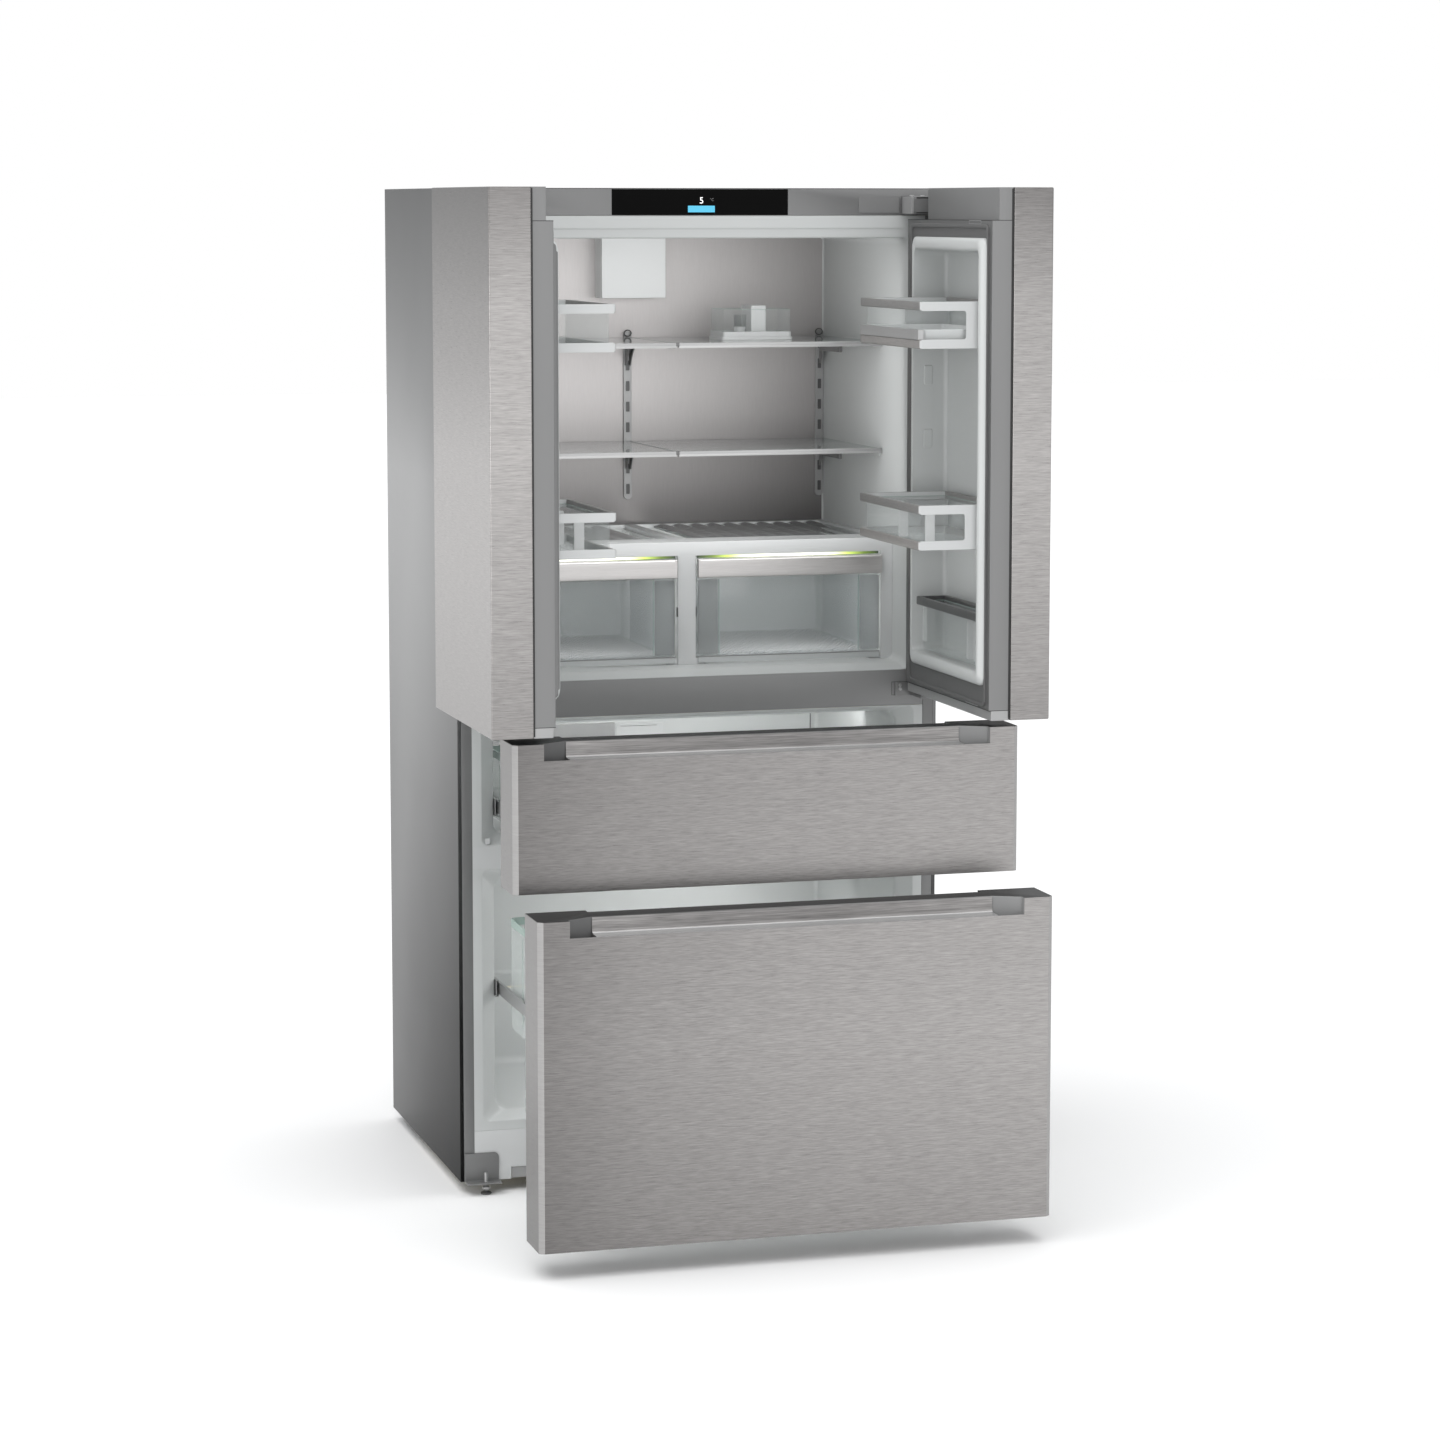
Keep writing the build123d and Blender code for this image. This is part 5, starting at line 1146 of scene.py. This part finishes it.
for hand in (-1, 1):
    for x, z, y, corner, edge, look in hingeLook["slabs"]:
        trims.slab("xz", mirrored(hand, x), z, y, corner, edge, look)
    x, z, y = hingeLook["lowPlate"]
    trims.band("xz", mirrored(hand, x), z, y, 0.7, 0.8, 0.1, 1)
    for places, axis, profile, sides, look in hingeLook["turned"]:
        for x, y, z in places:
            trims.turned((hand * x, y, z), axis, profile, sides, look)
trims.piece("hinge_trims", "cabinet", "hinge_metal", looks=(
    "frame_grey", "black_plastic", "rail_metal", "stripLip", "frame_grey"))
roundedCopy("outer_shell", 0.5)
roundedCopy("plinth_panel", 0.8, 3)
roundedCopy("foot_brackets", 0.9, 3)
plinthLook = {"x": (-359, 359), "z": (22.5, 42.5), "y": (1.6, 2.4)}
Shape().slab("xz", plinthLook["x"], plinthLook["z"], plinthLook["y"], 1, 0.2).piece(
    "plinth_notch", "cabinet", "white_plastic", looks=("notchGrey",))
print("cabinet front dressed")


# drawer bays

bayLook = {
    # (front-to-back place, half width, low, high, corner radius)
    "upper": [
        (0.4, 428.4, 617, 867.2, 1), (0, 427.8, 617, 866.6, 1), (0, 412.5, 638, 865.8, 10),
        (0.5, 410.8, 639, 865.2, 11), (1.8, 409.4, 639.8, 864.6, 12), (12, 398.6, 645.8, 860.0, 15),
        (22, 387.6, 652, 856.2, 18), (25, 384.4, 653.8, 855.2, 19), (29, 383.2, 654.4, 855, 20),
        (34, 383, 654.5, 855, 20), (250, 383, 654.5, 855, 20), (488, 383, 654.5, 855, 16),
        (496, 380.4, 657.1, 852.4, 16), (499.6, 374, 663, 846, 14),
    ],
    "lower": [
        (0.4, 428.4, 113.6, 617, 1), (0, 427.8, 114.2, 617, 1), (0, 412.5, 129, 596, 12),
        (0.5, 410.8, 130.4, 595, 13), (1.8, 409.4, 131.8, 593.8, 14), (12, 398.6, 138, 588, 18),
        (22, 387.6, 144, 581.4, 22),
        (25, 384.4, 145.2, 580.2, 24), (29, 383.2, 145.9, 579.6, 25), (34, 383, 146, 579.5, 25),
        (350, 383, 146, 579.5, 25), (378, 383, 147.5, 579.5, 25), (386, 383, 153, 579.5, 25),
        (389.6, 383, 164, 579.5, 25), (390, 383, 286, 579.5, 18), (392, 383, 294, 579.5, 14),
        (399, 383, 300, 579.5, 12), (430, 383, 300.5, 579.5, 12), (490, 383, 300.5, 579.5, 12),
        (497, 380.4, 303, 577, 12), (499.6, 374, 309, 570, 12),
    ],
    # flat trims: x, z, y, corner, edge, finish; the last four are covers on the upper bay's rear wall
    "trims": [
        ((-427.6, 427.6), (597.4, 637.0), (-0.2, 0.6), 1.5, 0.3, 0),
        ((-404, -396), (641.5, 652), (-0.1, 4), 1.4, 0.5, 0), ((396, 404), (641.5, 652), (-0.1, 4), 1.4, 0.5, 0),
        ((-330, 330), (857.2, 864), (16, 20), 2.5, 0.6, 1),
        ((-340, -33), (740, 787), (497.8, 499.9), 1.2, 0.4, 2), ((-30, 64), (740, 784), (497.8, 499.9), 1.2, 0.4, 0),
        ((-22, 52), (778, 779.4), (497.8, 499.9), 1.2, 0.4, 3), ((366, 368), (690, 800), (497.8, 499.9), 1.2, 0.4, 3),
    ],
}
bays = tunnel(tunnel(Shape(), bayLook["upper"], 6), bayLook["lower"], 6)
bays.piece("bays_moulded_liner", "cabinet", "white_liner", ("freezer_liner",), angle=50)
extras = Shape()
for x, z, y, corner, edge, look in bayLook["trims"]:
    extras.slab("xz", x, z, y, corner, edge, look)
extras.piece("bay_trims", "cabinet", "white_plastic", looks=("white_plastic", "bayLight", "capGrey", "groove"))
roundedCopy("evaporator_cover", 1.0, 3)
roundedCopy("machine_cover", 0.6)

slideLook = {
    "wall": 1.5, "lip": 4.5, "start": 15, "length": 480, "tall": 31,
    "heights": {"upper_drawer": 690.0, "lower_drawer": 357.0},
    # each member's step in from the fixed one, and its web and open side
    "fixed": (0, 383, 378), "middle": (4.24, 377.7, 372.7), "moving": (8.48, 367.4, 372.4),
    # round parts: places from both ends, distance from the web, profile of (distance, radius), sides
    "rollers": ((14,), 0.6, [(0, 5.6), (0.4, 6.4), (3.2, 6.4), (3.6, 5.6), (3.6, 0.01)], 20),
    "rivets": ((60, 240), 1.2, [(0, 3.2), (1.2, 3.0), (1.6, 2.0), (1.6, 0.01)], 14),
}


def channel(shape, hand, web, mouth, z, y):
    # a C section: its web at one side, its flanges turned in at both ends
    wall, lip = slideLook["wall"], slideLook["lip"]
    a, b, (low, high) = hand * web, hand * mouth, z
    turn = wall if b > a else -wall
    fold = b - turn * 0.7
    shape.prism("xz", [
        (a, low), (b, low), (b, low + lip), (fold, low + lip), (fold, low + wall), (a + turn, low + wall),
        (a + turn, high - wall), (fold, high - wall), (fold, high - lip), (b, high - lip), (b, high), (a, high),
    ], y)


def makeSlides(name, body, replaced, member, rows):
    # rows: (how far the member is pulled out, its height)
    shape = Shape()
    step, web, mouth = slideLook[member]
    for pull, low in rows:
        y = (slideLook["start"] - pull, slideLook["start"] - pull + slideLook["length"])
        z = (low + step, low + slideLook["tall"] - step)
        for hand in (-1, 1):
            channel(shape, hand, web, mouth, z, y)
            for part in ("rollers", "rivets"):
                places, away, profile, sides = slideLook[part]
                for along in sorted({spot for place in places for spot in (y[0] + place, y[1] - place)}):
                    start = (hand * (min(web, mouth) + away), along, (z[0] + z[1]) / 2)
                    shape.turned(start, (hand, 0, 0), profile, sides, 1)
    shape.piece(name, body, "rail_metal", (replaced,), ("rail_metal", "black_plastic"))


makeSlides("fixed_slides", "cabinet", "drawer_rails", "fixed", [(0, low) for low in slideLook["heights"].values()])


# drawers

frontLook = {
    "half": 455, "reach": 119, "depth": 96.5, "chamfer": 8.6, "soft": 0.3, "fold": 1.2, "corner": 0.7, "sheet": 0.8,
    "grip": {"half": 401, "tall": 28.5, "deep": 35, "straight": 14, "run": 45, "drop": 7},
    "topBand": 2, "slant": 0.3,  # the body's black top, and how far a chamfer's face is turned
    "heights": {"upper_drawer": (624.5, 882), "lower_drawer": (47, 609.5)},
    "pulls": {"upper_drawer": 323, "lower_drawer": 500},
}
stripLook = {"half": 354.6, "below": -0.6, "nose": 4.6, "fold": 7.0, "thick": 1.5}
drawerSealLook = {
    "half": 427, "corner": 9, "lowest": 113.5, "margin": (1, 7),
    "profile": [(0, -8), (0, -5.4), (1.2, -4.4), (1.2, -3), (0, -2.2), (0.6, -0.8), (1.8, -0.3), (12.2, -0.3),
                (13.4, -0.8), (14, -2.2), (12.8, -3), (12.8, -4.4), (14, -5.4), (14, -8)],
}


def gripOutline(front):
    grip = frontLook["grip"]
    half, deep = grip["half"], grip["deep"]
    points = [(-half, -1), (-half, grip["straight"]), (-half + grip["run"], deep)]
    points += [(-x, y) for x, y in reversed(points)]
    return [(x, front + y) for x, y in points]


def makeDrawerFront(drawer, front, low, high):
    half, sheet, chamfer, soft = frontLook["half"], frontLook["sheet"], frontLook["chamfer"], frontLook["soft"]
    rear, grip = front + frontLook["depth"], frontLook["grip"]
    rings = []
    for side, back in ((0, frontLook["depth"]), (0, chamfer + soft), (0.2, chamfer - soft), (chamfer - soft, 0.2),
                       (chamfer + soft, 0)):
        fold = max(0.0, frontLook["fold"] - back)
        rings.append(ring("xz", about(0, half - side), (low + fold, high), frontLook["corner"], front + back, 2))
    skin = Shape().loft(rings).piece(
        drawer + "_steel_skin", drawer, "door_steel", (drawer + "_skin",), ("drawerSteel",))
    half -= sheet
    bevel = chamfer - 0.6 * sheet
    inside = [(-half, rear + 1), (-half, front + sheet + bevel), (-half + bevel, front + sheet),
              (half - bevel, front + sheet), (half, front + sheet + bevel), (half, rear + 1)]
    carve(skin, Shape().prism("xy", inside, (low + sheet, high + 1)),
          Shape().prism("xy", gripOutline(front), (high - grip["tall"], high + 1)))
    skin.data.materials.append(finishes["chamfer"])
    slant, band = frontLook["slant"], frontLook["topBand"]
    paintFaces(skin, [(1, lambda normal, middle: abs(normal.x) > slant and normal.y < -slant)])
    top = (("black_plastic", lambda x, y, z: z > high - band),)
    roundedCopy(drawer + "_body", 1.2, 3, paints=top)
    roundedCopy(drawer + "_grip_housing", 1.1, 3, "capPlastic", top)


def makeGripStrip(drawer, front, high):
    # a brushed strip that lines the grip and folds forward into a sill
    grip, look = frontLook["grip"], stripLook
    floor, back = high - grip["tall"] - grip["drop"], front + grip["deep"]
    sill, nose, inner = high - grip["tall"] - look["below"], front + look["nose"], back - look["thick"]
    section = [(nose, floor + 0.2), (back + 0.4, floor + 0.2), (back + 0.4, high - 1), (inner, high - 1)]
    section += [(inner - inset, sill + rise) for inset, rise in roundOver(look["fold"], 4)]
    section += [(nose + 1.2, sill - 0.2), (nose, sill - 1.2)]
    strip = Shape().prism("yz", section, about(0, look["half"])).piece(
        drawer + "_brushed_strip", drawer, "grip_steel", (drawer + "_grip_strip",), ("grip_steel", "stripLip"))
    # the sill's upward faces take the pale steel: a painted highlight
    paintFaces(strip, [(1, lambda normal, middle: normal.z > 0.5 and middle.z < sill + 3)])


def makeDrawerSeal(drawer, pull, low, high):
    look = drawerSealLook
    foot, top = look["margin"]
    z = (max(low + foot, look["lowest"]) + foot, high - top)
    seal = Shape().loft([
        ring("xz", about(0, look["half"] - inset), grown(z, -inset), max(look["corner"] - inset, 2), at - pull)
        for inset, at in look["profile"]], start=False, end=False)
    seal.piece(drawer + "_bellows_seal", drawer, "seal_grey", (drawer + "_gasket",))


basketLook = {
    "half": 367.4, "wall": 2.5, "corner": 16, "foot": 12, "edge": 0.9, "rim": 14,
    "arm": ((355.4, 367.4), (31, 43), 8, 6), "ribs": (0.2, 0.4, 0.6, 0.8), "rib": (2, (363.6, 365.2), 6, 8),
    "stepOut": ((8, 0), (2, 2.5), (0, 8)), "stepIn": ((0, 7.5), (2, 2), (8, 0)),  # from the rear, above the ledge
    # front, rear, foot and rim; the lower one steps up over the machine room at the heel, to the ledge
    "upper_drawer": {"y": (-318, 147), "z": (670, 800)},
    "lower_drawer": {"y": (-495, -25), "z": (168, 510), "heel": -130, "ledge": 310},
}


def makeBasket(drawer, slideZ, pull):
    look, place = basketLook, basketLook[drawer]
    wall, foot, edge, half = look["wall"], look["foot"], look["edge"], look["half"]
    (front, rear), (low, high), heel, ledge = place["y"], place["z"], place.get("heel"), place.get("ledge")
    bottomRear, brim = heel or rear, high - look["rim"]
    # rows: (inset, height, rear, finish of the part below)
    rows = [(inset, low + back, bottomRear, 0) for inset, back in reversed(roundOver(foot, 4))]
    if heel:
        rows.append((0, ledge, heel, 0))
        rows += [(0, ledge + rise, rear - back, 0) for back, rise in look["stepOut"]]
    rows += [(0, brim, rear, 0), (0, high - edge, rear, 1), (edge, high, rear, 1),
             (wall - edge, high, rear, 1), (wall, high - edge, rear, 1), (wall, brim, rear, 1)]
    if heel:
        rows += [(wall, ledge + wall + rise, rear - back, 0) for back, rise in look["stepIn"]]
        rows.append((wall, ledge + wall, heel, 0))
    rows += [(wall + inset, low + wall + back, bottomRear, 0) for inset, back in roundOver(foot, 4)]
    shape = Shape()
    for one, two in zip(rows, rows[1:]):
        rings = [ring("xy", about(0, half - inset), (front + inset, back - inset),
                      max(look["corner"] - inset, 1.5), z) for inset, z, back, paint in (one, two)]
        shape.loft(rings, start=one is rows[0], end=two is rows[-1], look=two[3])
    armX, (armLow, armHigh), armBack, armFront = look["arm"]
    ribHalf, ribX, ribLow, ribHigh = look["rib"]
    for hand in (-1, 1):  # arms that carry it on the drawer's front, and ribs on its sides, inside
        shape.slab("xz", mirrored(hand, armX), (slideZ + armLow, slideZ + armHigh),
                   (-pull - armBack, front + armFront), 2, 0.8, 2)
        for share in look["ribs"]:
            along = front + (rear - front) * share
            base = (ledge + look["stepOut"][2][1] if heel and along > heel - foot else low + foot) + ribLow
            shape.slab("yz", about(along, ribHalf), (base, brim - ribHigh), mirrored(hand, ribX), 1.8, 0.5, 1)
    shape.piece(drawer + "_moulded_basket", drawer, "clear_plastic", (drawer + "_basket",), (
        "basketClear", "glassEdge", "white_plastic"), angle=50)


for drawer, pull in frontLook["pulls"].items():
    (low, high), slideZ = frontLook["heights"][drawer], slideLook["heights"][drawer]
    front = -frontLook["reach"] - pull
    makeDrawerFront(drawer, front, low, high)
    makeGripStrip(drawer, front, high)
    makeDrawerSeal(drawer, pull, low, high)
    makeSlides(drawer + "_moving_slides", drawer, drawer + "_rails", "moving", [(pull, slideZ)])
    middleRails = drawer + "_middle_rails"
    makeSlides(drawer + "_middle_slides", middleRails, middleRails, "middle", [(pull / 2, slideZ)])
for drawer, pull in frontLook["pulls"].items():
    makeBasket(drawer, slideLook["heights"][drawer], pull)
print("drawers dressed")


# feet, rollers and the back

footLook = {
    "x": 411, "y": -15, "padTop": 5, "stem": 4, "top": 40, "pitch": 1.6,
    "pad": [(0, 8.8), (0.4, 9.7), (1.4, 10), (2.8, 10), (3.8, 9.2), (5, 6.4), (6, 4.6)],
    "nut": [(9, 6.2), (9.6, 7.2), (13.4, 7.2), (14, 6.2), (14, 3.8)],
}
stem, padTop, top, pitch = footLook["stem"], footLook["padTop"], footLook["top"], footLook["pitch"]
thread = [(padTop + 0.8, stem)]
for turn in range(int((top - padTop - 3) / pitch)):
    along = padTop + 1.2 + turn * pitch
    thread += [(along, stem - 0.5), (along + pitch / 2, stem - 0.02)]
thread += [(top - 1, stem - 0.5), (top, stem - 1.4)]
for hand, name in ((-1, "foot_left"), (1, "foot_right")):
    foot = Shape()
    for profile, sides, look in ((footLook["pad"], 28, 0), (thread, 20, 1), (footLook["nut"], 6, 1)):
        foot.turned((hand * footLook["x"], footLook["y"], 0), (0, 0, 1), profile, sides, look)
    foot.piece(name + "_screw", name, "black_plastic", (name,), ("footMetal", "rail_metal"), angle=30)

wheelLook = {
    "x": 380, "y": 575, "z": 20, "axle": (414, 4),  # the axle's half length and radius
    "tyre": [(0, 6), (0, 8), (1.2, 9), (1.2, 15.5), (0.2, 16.5), (0.2, 18.6), (1.6, 20), (20.4, 20), (21.8, 18.6),
             (21.8, 16.5), (20.8, 15.5), (20.8, 9), (22, 8), (22, 6)],
}
wheels = Shape()
y, z, (half, radius) = wheelLook["y"], wheelLook["z"], wheelLook["axle"]
for hand in (-1, 1):
    wheels.turned((hand * wheelLook["x"], y, z), (hand, 0, 0), wheelLook["tyre"], 32)
wheels.turned((-half, y, z), (1, 0, 0), [
    (0, radius - 1), (1, radius), (2 * half - 1, radius), (2 * half, radius - 1)], 18, 1)
wheels.piece("rear_wheels", "rear_rollers", "black_plastic", ("rear_rollers",), ("black_plastic", "rail_metal"))

backLook = {
    "x": (-453.4, 453.4), "z": (250.4, 1818.4), "y": (617.8, 619),
    "beads": {"count": 4, "pitch": 235, "half": 340, "tall": 7, "middle": 1034.4, "y": (618.4, 620)},
    "rows": (6, 430, (1806, 262, 238, 40)), "columns": (9, 442, (330, 1730)),  # screws: count, half width, heights
    "screw": [(0, 4.6), (0.5, 4.6), (0.85, 3.9), (0.95, 2.4), (0.5, 2.0), (0.45, 0.01)],
}
backPiece = Shape().slab("xz", backLook["x"], backLook["z"], backLook["y"], 1.5, 0.3).piece(
    "back_sheet", "cabinet", "back_sheet", ("back_panel",))
beads = backLook["beads"]
lowest = beads["middle"] - beads["pitch"] * (beads["count"] - 1) / 2
carve(backPiece, *[
    Shape().slab("xz", about(0, beads["half"]), about(lowest + beads["pitch"] * bead, beads["tall"] / 2),
                 beads["y"], 3.4, 0.05)
    for bead in range(beads["count"])])
count, half, heights = backLook["rows"]
heads = [(-half + 2 * half * index / (count - 1), z) for index in range(count) for z in heights]
count, half, (low, high) = backLook["columns"]
heads += [(side, low + (high - low) * index / (count - 1)) for index in range(count) for side in (-half, half)]
screws = Shape()
for x, z in heads:
    screws.turned((x, 618.0, z), (0, 1, 0), backLook["screw"], 14)
screws.piece("back_screws", "cabinet", "back_sheet", looks=("rail_metal",))
print("feet, rollers and back dressed")
